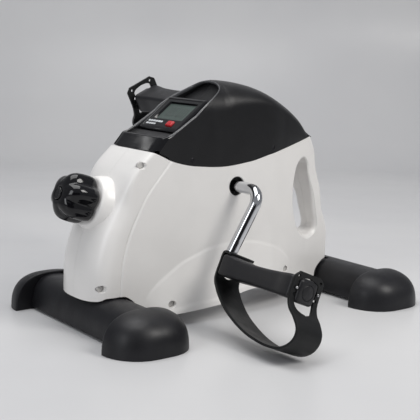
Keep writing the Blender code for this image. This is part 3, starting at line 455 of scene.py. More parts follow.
def bulge(x, z):
    """How far the skirt flares out under its arched crease, with a plain band at its lower lip."""
    reach = table([(-160, 0), (-140, 5), (-116, 9.5), (-42, 9.5), (0, 8), (60, 5.5), (99, 2), (112, 0)], x)
    arch = table(BULGE, x)
    low = table(SKIRT, x)
    share = np.clip((arch - z) / np.maximum(arch - low, 1), 0, 1)
    edge = smoothstep(0, 2.4, arch - z)
    lip = smoothstep(0.885, 0.90, share) * 1.3
    inside = smoothstep(-160, -150, x) * (1 - smoothstep(100, 110, x))
    return (reach * share ** 1.05 + (0.8 * edge + lip) * np.clip(reach / 4, 0, 1)) * inside


def front_shape(z):
    """How deep the body's rounded front corners are at a height, and how square they are."""
    return 12 + 18 * (1 - smoothstep(140, 214, z)), 2.6 + 2.8 * smoothstep(160, 216, z)


def front_x(z):
    """Where the body's leading edge lies at a height."""
    edge = np.array(FRONT_EDGE, float)
    return np.interp(z, edge[:, 1], edge[:, 0])


def front_half(z, behind):
    """Half width of the rounded front at a distance behind its leading edge."""
    depth, power = front_shape(z)
    share = np.clip(np.asarray(behind, float) / depth, 0, 1)
    return BODY_HALF_WIDTH * (1 - (1 - share) ** power) ** (1 / power)


def shell_mouth(x, z):
    """Half width of the body's side at a point, rounded front included."""
    return float(min(body_width(x), front_half(z, x - front_x(z))) + bulge(x, z))


def oval(x):
    """Stretch along X about a plane across the body."""
    middle = Matrix.Translation((x * MM, 0, 0))
    return middle @ Matrix.Diagonal((PLUG_STRETCH, 1, 1, 1)) @ middle.inverted()


def blended(start, end, shares):
    """Columns part of the way from one column to another."""
    return [start * (1 - share) + end * share for share in shares]


def shell_columns(crease):
    """The skin's columns of (x, z) points, front to back, and half widths where the ends are rounded."""
    rows = len(crease)
    front = even_curve(FRONT_EDGE, rows)
    tail = even_curve(TAIL_CREASE, rows)
    rear = even_curve(REAR_EDGE, rows)
    depth, power = front_shape(front[:, 1])
    columns = []
    widths = []
    for angle in np.linspace(0, math.pi / 2, 33):
        point = front.copy()
        point[:, 0] += depth * (1 - math.cos(angle) ** (2 / power))
        columns.append(point)
        widths.append(SHELL_GAP + (BODY_HALF_WIDTH - SHELL_GAP) * math.sin(angle) ** (2 / power))
    round_back = np.minimum(12.5, body_width(rear[:, 0]) * 0.8)
    back_start = rear - np.stack([round_back, 0 * round_back], axis=1)
    side = blended(columns[-1], crease, 1 - (1 - np.linspace(0, 1, 17)[1:-1]) ** 1.3)
    side += [crease + [offset, 0] for offset in CREASE_STEPS]
    side += blended(side[-1], tail, np.linspace(0, 1, 118)[1:])
    side += blended(tail, back_start, np.linspace(0, 1, 74)[1:])
    columns += side
    widths += [None] * len(side)
    edge_width = body_width(back_start[:, 0])
    for angle in np.linspace(0, math.pi / 2, 11)[1:]:
        point = back_start.copy()
        point[:, 0] += round_back * math.sin(angle)
        columns.append(point)
        widths.append(edge_width - round_back * (1 - math.cos(angle)))
    for share in (0.5, 1.0):
        columns.append(rear.copy())
        widths.append((edge_width - round_back) * (1 - share) + SHELL_GAP * share)
    return columns, widths


def shell_grid(rows=112):
    """The right half's skin, with its raised crease, its skirt and its trimmed top and bottom."""
    v = np.linspace(0, 1, rows)
    crease = even_curve(S_CREASE, rows)
    columns, widths = shell_columns(crease)
    grid = np.zeros((rows, len(columns), 3))
    for c, (point, width) in enumerate(zip(columns, widths)):
        x, z = point[:, 0], point[:, 1].copy()
        z += (1 - v) ** 3 * (table(SKIRT, x[0]) - z[0])
        z += v ** 3 * (table(PARTING, x[-1]) - z[-1])
        y = body_width(x) if width is None else width
        offset = x - crease[:, 0]
        raised = smoothstep(-0.4, 2.4, offset) * (1.0 - 0.8 * smoothstep(-60, 60, x))
        raised -= (0.9 - 0.7 * smoothstep(110, 170, z)) * np.exp(-((offset + 0.6) / 1.0) ** 2)
        side = np.clip((y - (body_width(x) - 3)) / 3, 0, 1)
        y = y + (raised + bulge(x, z)) * side
        grid[:, c] = np.stack([x, -y, z], axis=1)
    return grid


def closed_half(name, grid):
    """A solid between the skin and the middle plane."""
    rows, cols = grid.shape[:2]
    verts = [tuple(p) for p in grid.reshape(-1, 3)]
    faces = grid_faces(rows, cols)
    rim = []
    for row in (0, rows - 1):
        line = []
        for c in range(cols):
            if c in (0, cols - 1):
                line.append(row * cols + c)
                continue
            x, _, z = grid[row, c]
            line.append(len(verts))
            verts.append((x, -SHELL_GAP, z))
        rim.append(line)
        for c in range(cols - 1):
            faces.append((row * cols + c, row * cols + c + 1, line[c + 1], line[c]))
    back = [r * cols + cols - 1 for r in range(1, rows - 1)]
    fore = [r * cols for r in range(rows - 2, 0, -1)]
    faces.append(tuple(rim[0] + back + rim[1][::-1] + fore))
    faces = [tuple(dict.fromkeys(f)) for f in faces]
    obj = new_object(name, verts, [f for f in faces if len(f) > 2], None)
    fix_normals(obj, None, merge=0.002)
    return obj


def prism(name, outline, low, high):
    """An (x, z) outline drawn out along Y."""
    rings = [[(x, y, z) for x, z in outline] for y in (low, high)]
    return loft(name, rings, smooth=None)


def block(name, low, high):
    (x0, y0, z0), (x1, y1, z1) = low, high
    return prism(name, [(x0, z0), (x1, z0), (x1, z1), (x0, z1)], y0, y1)


def rod_solid(name, start, end, radii, sides):
    """A round solid between two points; radii are (share of the way, radius) pairs."""
    a, b = Vector(start), Vector(end)
    place = Matrix.Translation(a) @ (b - a).to_track_quat("Z", "Y").to_matrix().to_4x4()
    length = (b - a).length
    return lathe(name, [(share * length, radius) for share, radius in radii], place, sides, None)


def outline_grown(points, amount):
    """A closed outline pushed outwards along its own normals."""
    p = np.asarray(points, float)
    tangent = np.roll(p, -1, axis=0) - np.roll(p, 1, axis=0)
    normal = np.stack([tangent[:, 1], -tangent[:, 0]], axis=1)
    normal /= np.linalg.norm(normal, axis=1)[:, None]
    centre = p.mean(axis=0)
    if ((p - centre) * normal).sum() < 0:
        normal = -normal
    return p + normal * np.reshape(amount, (-1, 1))


def handle_cutter():
    """The hand opening, with its mouth rounded over into the side."""
    outline = even_curve(HANDLE, 120, closed=True)
    centre = outline.mean(axis=0)
    angle = np.arctan2(outline[:, 1] - centre[1], outline[:, 0] - centre[0])
    # the grip side and the bottom corner have the widest rounding
    radius = 3.0 + 5.0 * np.clip(np.cos(angle + math.radians(35)), 0, 1) ** 0.8
    rings = []
    steps = [(radius * 0.72 + 5, -8.0)]
    for share in (0.05, 0.2, 0.4, 0.6, 0.8, 1.0):
        steps.append((radius * (1 - np.sqrt(1 - (1 - share) ** 2)), radius * share))
    for reach, depth in steps:
        grown = outline_grown(outline, reach)
        y = body_width(grown[:, 0]) - depth
        rings.append([(x, -float(w), z) for (x, z), w in zip(grown, y)])
    rings.append([(x, 5.0, z) for x, z in outline])
    return loft("handle_cutter", rings, smooth=None)


def shell_hollow():
    """The room inside the shells, open at the bottom and under the cover."""
    rings = []
    front = np.array(FRONT_EDGE, float)
    for x in np.concatenate([np.arange(-224, -100, 4), np.arange(-100, 190, 8), [190]]):
        low = float(table(SKIRT, x)) - 14
        high = float(np.interp(x - 4.5, front[:, 0], front[:, 1])) - 2 if x < -146 else 262
        side = []
        for z in np.linspace(low, high, 12):
            half = min(float(body_width(x)), float(front_half(z, x - front_x(z) - WALL)))
            side.append((x, -max(half - WALL - 0.5, 1), z))
        rings.append(side + [(x, 10, high), (x, 10, low)])
    hollow = loft("hollow", rings, smooth=None)
    grip = outline_grown(even_curve(HANDLE, 40, closed=True), 4)
    cut(hollow, prism("handle_keep", grip, -80, 80), block("grip_keep", (128, -80, 85), (300, 80, 300)))
    return hollow


def shell_cutters(side):
    """Openings for the crank, the screws, the knob's screw and its slider."""
    wide = CRANK_HOLE_RADIUS
    cutters = [rod_solid("crank_bore", (CRANK_X, 10, CRANK_Z), (CRANK_X, -80, CRANK_Z),
                         [(0, wide), (0.69, wide), (0.7022, wide + 1.3), (1, wide + 1.6)], 64)]
    if side == "right":
        for i, (x, z) in enumerate(SHELL_SCREWS):
            mouth = shell_mouth(x, z)
            recess = rod_solid(f"recess_{i}", (x, -mouth + 8, z), (x, -mouth - 8, z),
                               [(0, PLUG_RADIUS + 0.3), (0.4, PLUG_RADIUS + 0.3), (0.5, PLUG_RADIUS + 0.8),
                                (1, PLUG_RADIUS + 1.2)], 40)
            # the mouths are ovals, longer along the body
            recess.data.transform(oval(x))
            cutters.append(recess)
    for name, low, high, radius, sides in (("screw_bore", -30, 45, SCREW_BORE_RADIUS, 24),
                                           ("slider_room", -62, -6.5, SLIDER_ROOM_RADIUS, 32)):
        start, end = (KNOB_BASE + knob_axis() * along for along in (low, high))
        cutters.append(rod_solid(name, start, end, [(0, radius), (1, radius)], sides))
    return cutters


def knob_axis():
    return Vector((-math.cos(KNOB_TILT), 0, math.sin(KNOB_TILT)))


def make_shells():
    grid = shell_grid()
    hollow = shell_hollow()
    for side, sign in SIDES:
        shell = closed_half("shell_" + side, grid)
        room = hollow.copy()
        room.data = hollow.data.copy()
        SCENE.collection.objects.link(room)
        cut(shell, room, handle_cutter(), *shell_cutters(side))
        if sign > 0:
            shell.data.transform(Matrix.Diagonal((1, -1, 1, 1)))
            shell.data.flip_normals()
        shade(shell, 38)
        finish_piece(shell, "frame", "white_shell", side + "_shell")
    bpy.data.objects.remove(hollow)


# ---- black cover
COVER_INSET = 1.0
COVER_WALL = 1.6
COVER_FRONT = [(-144, 229.5), (-131.5, 244.6)]
# where the polished front ledge ends and the matt deck begins
DECK_START_X = -126
HOOD_TOP = 316.0
RIM_WIDTH = 3.6
CORNER = 9
BEAD_STEPS = 7
RIB_POINTS = 56


def cover_edge():
    """The line where the cover's outside ends: front wall, rims beside the monitor, hood front."""
    return np.vstack([evenly(COVER_FRONT, 12)[:-1], evenly(spline(HOOD_EDGE, steps=10), 104)])


def cover_foot(x):
    """Half width of the cover and the height that it rises from, at one place along the body."""
    return float(body_width(x)) - COVER_INSET, float(table(PARTING, x)) - 1.5


def dome_section(x, top, start, width):
    """Outline from the side's foot over the shoulder to the middle, as (y, z), outermost first."""
    rounding = min(float(table([(-30, 41), (0, 33), (40, 24), (90, 19), (148, 14)], x)), top - start - 1)
    foot = top - rounding
    points = []
    for share in np.linspace(0, 1, 12):
        belly = 0.9 * math.sin(math.pi * share) * min(1, width / 50)
        points.append((width + belly, start + (foot - start) * share))
    for angle in np.linspace(0, math.pi / 2, 30)[1:]:
        points.append((width * math.cos(angle), foot + rounding * math.sin(angle)))
    return np.array(points)


def trimmed(points, height):
    """The part of a rising section below a height."""
    z = points[:, 1]
    if height >= z[-1] - 1e-6:
        return points
    i = int(np.argmax(z > height))
    t = (height - z[i - 1]) / max(z[i] - z[i - 1], 1e-9)
    return np.vstack([points[:i], points[i - 1] * (1 - t) + points[i] * t])


def deck_depth(x):
    """How far the ledge, the deck and the monitor's bed lie below the edge line."""
    return float(table([(-144, 0), (-132, 0), (-130.6, -0.9), (-129, -1.3), (-127.4, -0.9), (-126.4, 0.3),
                        (-125.4, 3.0), (-109, 3.6), (-106, 9),
                        (-70, 10), (-58, 10), (-50, 9), (-40, 7), (-30, 5.5), (-22, 4.5)], x))


def deck_rib(line, point, tangent):
    """From the end of an outside rib over the beaded rim and down to the middle of the deck."""
    x, z = point
    inward = np.array([tangent[1], -tangent[0]]) / np.linalg.norm(tangent)
    last = line[-2] - line[-1]
    across = np.array([last[1], -last[0]]) / max(np.linalg.norm(last), 1e-9)
    if across[0] > 0:
        across = -across
    rib = []
    for angle in np.linspace(0, math.pi, BEAD_STEPS + 1)[1:]:
        y, h = line[-1] + across * RIM_WIDTH * (1 - math.cos(angle)) / 2
        lift = -inward * RIM_WIDTH / 2 * math.sin(angle)
        rib.append((x + lift[0], max(y, 0.0), h + lift[1]))
    y_in, h_in = line[-1] + across * RIM_WIDTH
    y_in = max(y_in, 0.0)
    push = inward * deck_depth(x)
    for share in (0.15, 0.5, 0.85, 1.0):
        rib.append((x + push[0] * share, y_in, h_in + push[1] * share))
    bottom = np.array([x, h_in]) + push
    middle = np.array([x, z]) + push
    for share in np.linspace(0, 1, 12)[1:]:
        here = bottom * (1 - share) + middle * share
        rib.append((here[0], y_in * (1 - share), here[1]))
    return [(a, -b, c) for a, b, c in rib]


def cover_ribs(edge):
    """Ribs of the cover's outside, front to back, and ribs of its front ledge and deck."""
    outside = []
    deck = []
    for i, (x, z) in enumerate(edge):
        width, start = cover_foot(x)
        section = dome_section(x, HOOD_TOP, start, width)
        line = evenly(trimmed(section, max(z, start + 0.4)), RIB_POINTS)
        outside.append([(x, -y, h) for y, h in line])
        tangent = edge[min(i + 1, len(edge) - 1)] - edge[max(i - 1, 0)]
        deck.append(outside[-1][-1:] + deck_rib(line, (x, z), tangent))
    for x, z in even_curve(DOME, 108)[1:]:
        width, start = cover_foot(x)
        section = dome_section(x, z, min(start, z - 0.5), width)
        outside.append([(x, -y, h) for y, h in evenly(section, RIB_POINTS)])
    return outside, deck


def mirrored_skin(name, rows):
    """A thin wall over ribs of the right half and their mirror image."""
    verts = [corner_rounded(p) for row in rows for p in row]
    faces = grid_faces(len(rows), len(rows[0]))
    mirror = len(verts)
    verts += [(x, -y, z) for x, y, z in verts]
    faces += [tuple(mirror + i for i in f[::-1]) for f in faces]
    obj = new_object(name, verts, faces, None)
    fix_normals(obj, None, merge=0.01)
    wall = obj.modifiers.new("wall", "SOLIDIFY")
    wall.thickness = COVER_WALL * MM
    wall.offset = -1
    freeze(obj)
    shade(obj, 50)
    return obj


def make_cover():
    edge = cover_edge()
    outside, deck = cover_ribs(edge)
    front = int(np.argmax(edge[:, 0] > DECK_START_X))
    bead = [rib[:BEAD_STEPS + 2] for rib in deck[front:]]
    floor = [rib[BEAD_STEPS + 1:] for rib in deck[front:]]
    # the rim bead gets the lighter grey look, a painted highlight on black plastic
    for name, rows, nodes, look in (("hood_cover", outside, ["top_cover"], None),
                                    ("hood_front", deck[:front + 1], [], LOOKS["gloss_black"]),
                                    ("hood_rim", bead, [], RIM_PAINTED_HIGHLIGHT), ("hood_deck", floor, [], None)):
        finish_piece(mirrored_skin(name, rows), "frame", "black_cover", *nodes, look=look)


def corner_rounded(point):
    """Draws the cover's two front corners back into a rounded edge."""
    x, y, z = point
    past = min(max(abs(y) - (BODY_HALF_WIDTH - COVER_INSET - CORNER), 0), CORNER)
    fade = 1 - float(smoothstep(-134, -108, x))
    return x + fade * (CORNER - math.sqrt(CORNER ** 2 - past ** 2)), y, z


# ---- knob
# (along the axis, radius) profiles, from the body outwards
COLLAR_PROFILE = [(-24, 41), (-12, 39.6), (0, 37.4), (6, 36.1), (11, 34.7), (14, 33.3), (15.6, 32),
                  (16.3, 30), (16.3, 6.2), (12, 6), (-24, 6)]
KNOB_PROFILE = [(17.5, 6), (17.5, 25), (17.9, 27.4), (19.0, 29.4), (21, 31), (24, 31.8), (29, 32.1),
                (34, 32.1), (39, 31.9), (43, 31.5), (47, 30.7), (50.4, 29.3), (53.4, 27.3), (56, 24.6),
                (58.2, 21.4), (59.8, 17.9), (60.8, 14.8), (61.3, 12.2), (61.5, 10.2), (61.2, 9.2),
                (60.2, 8.7), (57.6, 8.5), (57.4, 6)]
KNOB_CAP_PROFILE = [(62.8, 0.02), (62.6, 3.4), (62.4, 5.6), (63.0, 6.4), (63.1, 7.2), (62.5, 7.9),
                    (61.4, 8.1), (57.6, 8.0), (57.6, 0.02)]
LOBE_DEPTH = 0.19


def knob_matrix():
    """Z runs out along the knob's axis; X is up."""
    out = knob_axis()
    across = Vector((0, 1, 0))
    up = across.cross(out)
    basis = Matrix((up, across, out)).transposed().to_4x4()
    return Matrix.Translation(KNOB_BASE) @ basis


def lobed(radius, angle):
    """Draws the knob's radius in between its lobes, fading out towards its axis."""
    wave = 0.5 + 0.5 * math.cos(KNOB_LOBES * (angle - LOBE_TURN))
    valley = LOBE_DEPTH * (1 - (0.97 * wave + 0.03) ** 0.55)
    fade = min(1.0, max(0.0, (radius - 10) / 13)) ** 1.2
    return radius * (1 - valley * fade)


def make_knob():
    place = knob_matrix()
    collar = lathe("collar", COLLAR_PROFILE, place, 96)
    finish_piece(collar, "frame", "white_shell", "knob_collar")
    knob = lathe("knob", KNOB_PROFILE, place, 168, 50, lobed)
    finish_piece(knob, "knob", "gloss_black", "tension_knob")
    cap = lathe("knob_centre", KNOB_CAP_PROFILE, place, 64, 50)
    finish_piece(cap, "knob", "gloss_black", "knob_cap")


# ---- feet
def arch_section(half, height, count, square=0.75):
    """A rounded arch, flat at the floor, as (x, z) from one side over the top."""
    points = []
    for angle in np.linspace(0, math.pi, count):
        c, s = math.cos(angle), math.sin(angle)
        points.append((half * math.copysign(abs(c) ** square, c), height * abs(s) ** square))
    return points


def bar_cover_section(inset):
    height = BAR_COVER_HEIGHT - BAR_COVER_LIFT - inset
    section = evenly(arch_section(BAR_COVER_HALF_WIDTH - inset, height, 200), 60)
    return [(x, max(z, 0)) for x, z in section]


def make_feet():
    outline = bar_cover_section(0) + bar_cover_section(BAR_COVER_WALL)[::-1]
    for end, bar_x in BARS.items():
        rings = [[(bar_x + x, y, z + BAR_COVER_LIFT) for x, z in outline]
                 for y in np.linspace(-BAR_COVER_END_Y, BAR_COVER_END_Y, 24)]
        cover = loft(end + "_cover_arch", rings)
        # the wall that faces the middle of the body is open where the frame comes in
        inward = 1 if bar_x < 0 else -1
        low, high = sorted((bar_x, bar_x + inward * 60))
        cut(cover, block("slot", (low, -BAR_SLOT[end], -10), (high, BAR_SLOT[end], 60)))
        soft_edges(cover, 0.6, 2, 50)
        finish_piece(cover, "frame", "foot_plastic", end + "_bar_cover")
        for side, sign in SIDES:
            cap = foot_cap(f"{end}_foot_{side}", bar_x, sign)
            finish_piece(cap, "frame", "foot_plastic", f"{end}_foot_cap_{side}")


def foot_cap(name, bar_x, sign):
    """A bulb with a flat sole and a rounded rim on its inner face."""
    sizes = [(CAP_HALF_WIDTH - inset, CAP_HEIGHT - inset, CAP_INNER_Y + y)
             for inset, y in ((9, 0.6), (2.2, 0.0), (0.9, 0.25), (0.2, 1.0), (0, CAP_RIM))]
    for angle in np.linspace(0, math.pi / 2, 30)[1:]:
        share = math.sin(angle * 0.97)
        shrink = (1 - share ** 2.1) ** 0.47
        sizes.append((CAP_HALF_WIDTH * (0.16 + 0.84 * shrink), CAP_HEIGHT * (0.25 + 0.75 * shrink),
                      CAP_INNER_Y + CAP_RIM + (CAP_LENGTH - CAP_RIM) * share))
    rings = []
    for half, height, y in sizes:
        section = evenly(arch_section(half, height, 300), 72)
        rings.append([(bar_x + x, sign * y, max(z, 0)) for x, z in section])
    last = np.array(rings[-1])
    middle = last.mean(axis=0)
    for share in (0.85, 0.6, 0.3):
        rings.append(middle + (last - middle) * share + (0, sign * 0.5 * (1 - share), 0))
    return loft(name, rings, smooth=55)


# ---- cranks
def bend(corner, arriving, leaving, radius, steps=20):
    """Points along the arc that rounds a corner between two directions."""
    turn = arriving.angle(leaving)
    start = corner - arriving * radius * math.tan(turn / 2)
    centre = corner + (leaving - arriving).normalized() * radius / math.cos(turn / 2)
    axis = arriving.cross(leaving)
    return [centre + Matrix.Rotation(angle, 3, axis) @ (start - centre)
            for angle in np.linspace(0, turn, steps)]


def crank_path(sign):
    """The rod's middle line from the hub to its outer end, and the middle of the pedal's axle."""
    towards = Vector((-math.sin(CRANK_ANGLE), 0, -math.cos(CRANK_ANGLE))) * (1 if sign < 0 else -1)
    out = Vector((0, sign, 0))
    hub = Vector((CRANK_X, 0, CRANK_Z))
    pin = hub + towards * CRANK_RADIUS
    hub_corner = hub + out * HUB_CORNER_Y
    pin_corner = pin + out * PIN_CORNER_Y
    arm = (pin_corner - hub_corner).normalized()
    upper = bend(hub_corner, out, arm, HUB_BEND_RADIUS)
    lower = bend(pin_corner, arm, out, PIN_BEND_RADIUS)
    points = [hub + out * y for y in np.linspace(12, abs(upper[0].y) - 0.5, 12)] + upper
    points += [upper[-1].lerp(lower[0], t) for t in np.linspace(0, 1, 14)[1:-1]] + lower
    points += [pin + out * y for y in np.linspace(abs(lower[-1].y) + 0.5, ROD_END_Y - 1.2, 10)]
    return points, pin


def tube(name, points, radius, sides=48, chamfer=1.0):
    """A round rod along a path, with chamfered ends."""
    tangent = (points[1] - points[0]).normalized()
    normal = tangent.orthogonal().normalized()
    rings = []
    for i, point in enumerate(points):
        after = (points[min(i + 1, len(points) - 1)] - points[max(i - 1, 0)]).normalized()
        normal = tangent.rotation_difference(after) @ normal
        tangent = after
        other = tangent.cross(normal)
        steps = [(point, radius)]
        if i == 0:
            steps.insert(0, (point - tangent * chamfer, radius - chamfer))
        if i == len(points) - 1:
            steps.append((point + tangent * chamfer, radius - chamfer))
        for centre, r in steps:
            rings.append([centre + (normal * math.cos(a) + other * math.sin(a)) * r
                          for a in np.arange(sides) * 2 * math.pi / sides])
    return loft(name, rings)


# ---- pedals and straps
PEDAL_TILT = {"right": math.radians(23), "left": math.radians(-26)}
# the pedal and its strap sit this much above the middle of the axle
PEDAL_LIFT = 4
# (distance out from the middle of the body, half width)
PEDAL_HALF = [(108, 22), (118, 22), (140, 19.5), (175, 17.5), (210, 18.5), (232, 21.5), (243, 22)]
PEDAL_TOP = 12
PEDAL_LOW = -17
SADDLE_DEPTH = 3.2
SECTION_CORNER = 4.5
END_BLOCK_HALF = 14.6
PEG_ACROSS = (-18.5, 18.5)
PEG_HEIGHT = -2
# (distance out, radius) profiles
AXLE_BOSS_PROFILE = [(253.2, 0.02), (253.2, 8.4), (252.9, 9.0), (252.2, 9.4), (241.6, 9.4), (241.6, 0.02)]
PEG_TIP_PROFILE = [(252.6, 0.02), (252.5, 1.0), (252.2, 1.6), (251.6, 1.9), (250.7, 1.9), (250.7, 0.02)]
SLEEVE_PROFILE = [(38.4, 12.6), (50.2, 12.8), (50.9, 12.2), (50.6, 11.4), (44, 10.6), (43.4, 8.9),
                  (38.4, 8.6), (38.4, 12.6)]
# the strap's run below the pedal: (distance out from the body's middle, distance down from the pedal's)
STRAP_PATH = [
    (120.5, -13.6), (116, -14.2), (111, -14.5), (106.6, -13), (105.5, -8), (105.6, 0), (105.4, 12),
    (106.2, 20), (109, 26), (114, 31.5), (124.5, 41), (144, 54), (169, 65), (193, 72.5), (215, 76.3),
    (236, 77.8), (256, 75.5), (269.5, 68), (276, 57.5), (275, 46), (265.5, 35), (255, 26.5),
    (249.5, 17), (248, 6), (248, -6),
]
STRAP_HALF_WIDTH = 21
STRAP_THICKNESS = 3.3
STRAP_COLUMNS = 9
# how far the hoop reaches up: the left strap is hooked one pair of holes tighter
HOOP_TOP = {"right": 18, "left": 26}
HOOP_BAR = 5.5
HOOP_FLARE = {"right": 3.5, "left": 6.5}
HOOP_WINDOW_HALF = 16.6
HOOKED_TIGHTER = {"right": 0, "left": 0.12}
HOLES_BELOW_TOP = (6, 20, 28)


def axle_matrix(side, pin):
    return Matrix.Translation((pin.x, 0, pin.z)) @ Matrix.Rotation(PEDAL_TILT[side], 4, "Y")


def pedal_matrix(side, pin):
    return axle_matrix(side, pin) @ Matrix.Translation((0, 0, PEDAL_LIFT))


def axis_out(x, z, sign):
    """Z runs outwards along the pedal's axle, through a point across the pedal."""
    basis = Matrix(((1, 0, 0), (0, 0, sign), (0, -sign, 0))).to_4x4()
    return Matrix.Translation((x, 0, z)) @ basis


def pedal_section(out):
    """The outline across the axle, with rounded ends and a shallow saddle in both treads."""
    start, end = PEDAL_HALF[0][0], PEDAL_HALF[-1][0]
    shrink = 2.0 * (1 - min(1, (out - start) / 3)) ** 2 + 1.6 * (1 - min(1, (end - out) / 3)) ** 2
    saddle = SADDLE_DEPTH * math.sin(math.pi * np.clip((out - 121) / 111, 0, 1) ** 0.8)
    half = float(table(PEDAL_HALF, out)) - shrink
    return rounded_rectangle(-half, half, PEDAL_LOW + shrink + 0.3 * saddle, PEDAL_TOP - shrink - saddle,
                             SECTION_CORNER, 6)


def end_block_section(inset):
    reach = END_BLOCK_HALF - inset
    section = rounded_rectangle(-reach, reach, inset - 19, 10 - inset, SECTION_CORNER - inset * 0.5, 6)
    return [(x - 1, z) for x, z in section]


def make_pedal(side, sign, pin):
    place = pedal_matrix(side, pin)
    axle = axle_matrix(side, pin) @ axis_out(0, 0, sign)
    stations = np.concatenate([[108, 108.4, 109.4, 111], np.linspace(113, 239, 40), [241, 242.4, 243]])
    rings = [[place @ Vector((x, sign * out, z)) for x, z in pedal_section(out)] for out in stations]
    pedal = loft(side + "_pedal_body", rings, flip=sign > 0)
    rings = [[place @ Vector((x, sign * out, z)) for x, z in end_block_section(inset)]
             for out, inset in ((238, 0), (250.2, 0), (252, 0.7), (253, 2.2))]
    additions = [loft(side + "_end_block", rings)]
    pegs = [place @ axis_out(x, PEG_HEIGHT, sign) for x in PEG_ACROSS]
    additions += [lathe(f"{side}_peg", [(238, 1.9), (250.6, 1.9)], peg, 24) for peg in pegs]
    cut(pedal, *additions, operation="UNION")
    bore = lathe("bore", [(90, 8.05), (236, 8.05)], axle, 48)
    well = lathe("well", [(235.5, 9.6), (254, 9.6), (260, 10)], axle, 48)
    mouth = lathe("mouth", [(100, 14.2), (102, 14), (112, 8.2)], axle, 48)
    cut(pedal, bore, well, mouth)
    shade(pedal, 40)
    body = "pedal_" + side
    finish_piece(pedal, body, "pedal_plastic", side + "_pedal")
    boss = lathe(side + "_axle_boss", AXLE_BOSS_PROFILE, axle, 48, 50)
    finish_piece(boss, body, "pedal_plastic")
    for i, peg in enumerate(pegs):
        tip = lathe(f"{side}_peg_tip_{i + 1}", PEG_TIP_PROFILE, peg, 32, 60)
        finish_piece(tip, body, "steel")


def strap_line(side):
    """The strap's run and its hoop, as evenly spaced points."""
    # a strap hooked tighter has a shorter loop that stands out further at its end
    tighter = HOOKED_TIGHTER[side]
    line = [(out + 50 * tighter * float(smoothstep(200, 250, out) * smoothstep(0, 30, down)),
             down * (1 - tighter * float(smoothstep(215, 262, out)))) for out, down in STRAP_PATH]
    return even_curve(line + [(248, -HOOP_TOP[side])], 250)


def strap_rows(side, half_sign):
    """Rows across one half of the strap, from the hoop's window or the middle out to the edge."""
    line = strap_line(side)
    length = np.concatenate([[0], np.cumsum(np.linalg.norm(np.diff(line, axis=0), axis=1))])
    total = length[-1]
    window_start, window_end = total - HOOP_TOP[side] - 35, total - HOOP_BAR
    rows = []
    for (out, down), at in zip(line, length):
        flare = HOOP_FLARE[side] * float(smoothstep(total - 90, total - 30, at))
        wide = STRAP_HALF_WIDTH + flare - 6.5 * float(smoothstep(total - 9, total, at)) ** 2
        ends = (np.clip((at - window_start) / 20, 0, 1), np.clip((window_end - at) / 7, 0, 1))
        window = HOOP_WINDOW_HALF * math.prod(math.sqrt(1 - (1 - end) ** 2) for end in ends)
        rows.append([(half_sign * (window + (wide - window) * t), out, down)
                     for t in np.linspace(0, 1, STRAP_COLUMNS)])
    return rows


def make_strap(side, sign, pin):
    """The moulded strap: a band that splits into two arms and a hoop over the end block's pegs."""
    place = pedal_matrix(side, pin)
    verts = []
    faces = []
    for half_sign in (-1, 1):
        rows = strap_rows(side, half_sign)
        faces += grid_faces(len(rows), STRAP_COLUMNS, start=len(verts), flip=(half_sign * sign) < 0)
        verts += [place @ Vector((x, sign * out, -down)) for row in rows for x, out, down in row]
    strap = new_object(side + "_strap_band", verts, faces, None)
    fix_normals(strap, None, merge=0.01)
    thick = strap.modifiers.new("thick", "SOLIDIFY")
    thick.thickness = STRAP_THICKNESS * MM
    thick.offset = 0
    thick.use_even_offset = True
    freeze(strap)
    soft_edges(strap, 0.9, 3, 60)
    for below in HOLES_BELOW_TOP:
        for x in PEG_ACROSS:
            hole = place @ axis_out(x, HOOP_TOP[side] - below, sign)
            cut(strap, lathe("strap_hole", [(240, 2.2), (262, 2.2)], hole, 24))
    cut(strap, lathe("eye", [(96, 14.6), (110, 14.6)], place @ axis_out(0, -PEDAL_LIFT, sign), 48))
    shade(strap, 50)
    finish_piece(strap, "pedal_" + side, "strap_rubber", side + "_strap")


def make_cranks():
    for side, sign in SIDES:
        hub = Matrix.Translation((CRANK_X, 0, CRANK_Z)) @ axis_out(0, 0, sign)
        sleeve = lathe(side + "_crank_sleeve", SLEEVE_PROFILE, hub, 64, 50)
        finish_piece(sleeve, "frame", "black_cover")
        points, pin = crank_path(sign)
        rod = tube(side + "_crank_rod", points, ROD_RADIUS)
        finish_piece(rod, "crank", "chrome", side + "_crank")
        make_pedal(side, sign, pin)
        make_strap(side, sign, pin)


# ---- screws
COVER_SCREW_RADIUS = 3.4


def screw_head(name, x, y_face, z, sign, radius):
    """A pan head with a cross recess, its face at y_face, turned outwards."""
    place = Matrix.Translation((x, y_face, z)) @ axis_out(0, 0, sign)
    profile = [(-4, radius * 0.5), (-1.6, radius * 0.5), (-1.6, radius), (-0.8, radius),
               (-0.3, radius * 0.86), (0, radius * 0.5), (0.1, 0.02)]
    head = lathe(name, profile, place, 32)
    turned = Matrix.Translation(Vector((x, y_face, z)) * MM) @ Matrix.Rotation(0.5, 4, "Y")
    for wide, tall in ((radius * 0.22, radius * 0.62), (radius * 0.62, radius * 0.22)):
        slot = block("cross", (-wide, -1.1, -tall), (wide, 1.1, tall))
        slot.data.transform(turned)
        cut(head, slot)
    shade(head, 40)
    return head


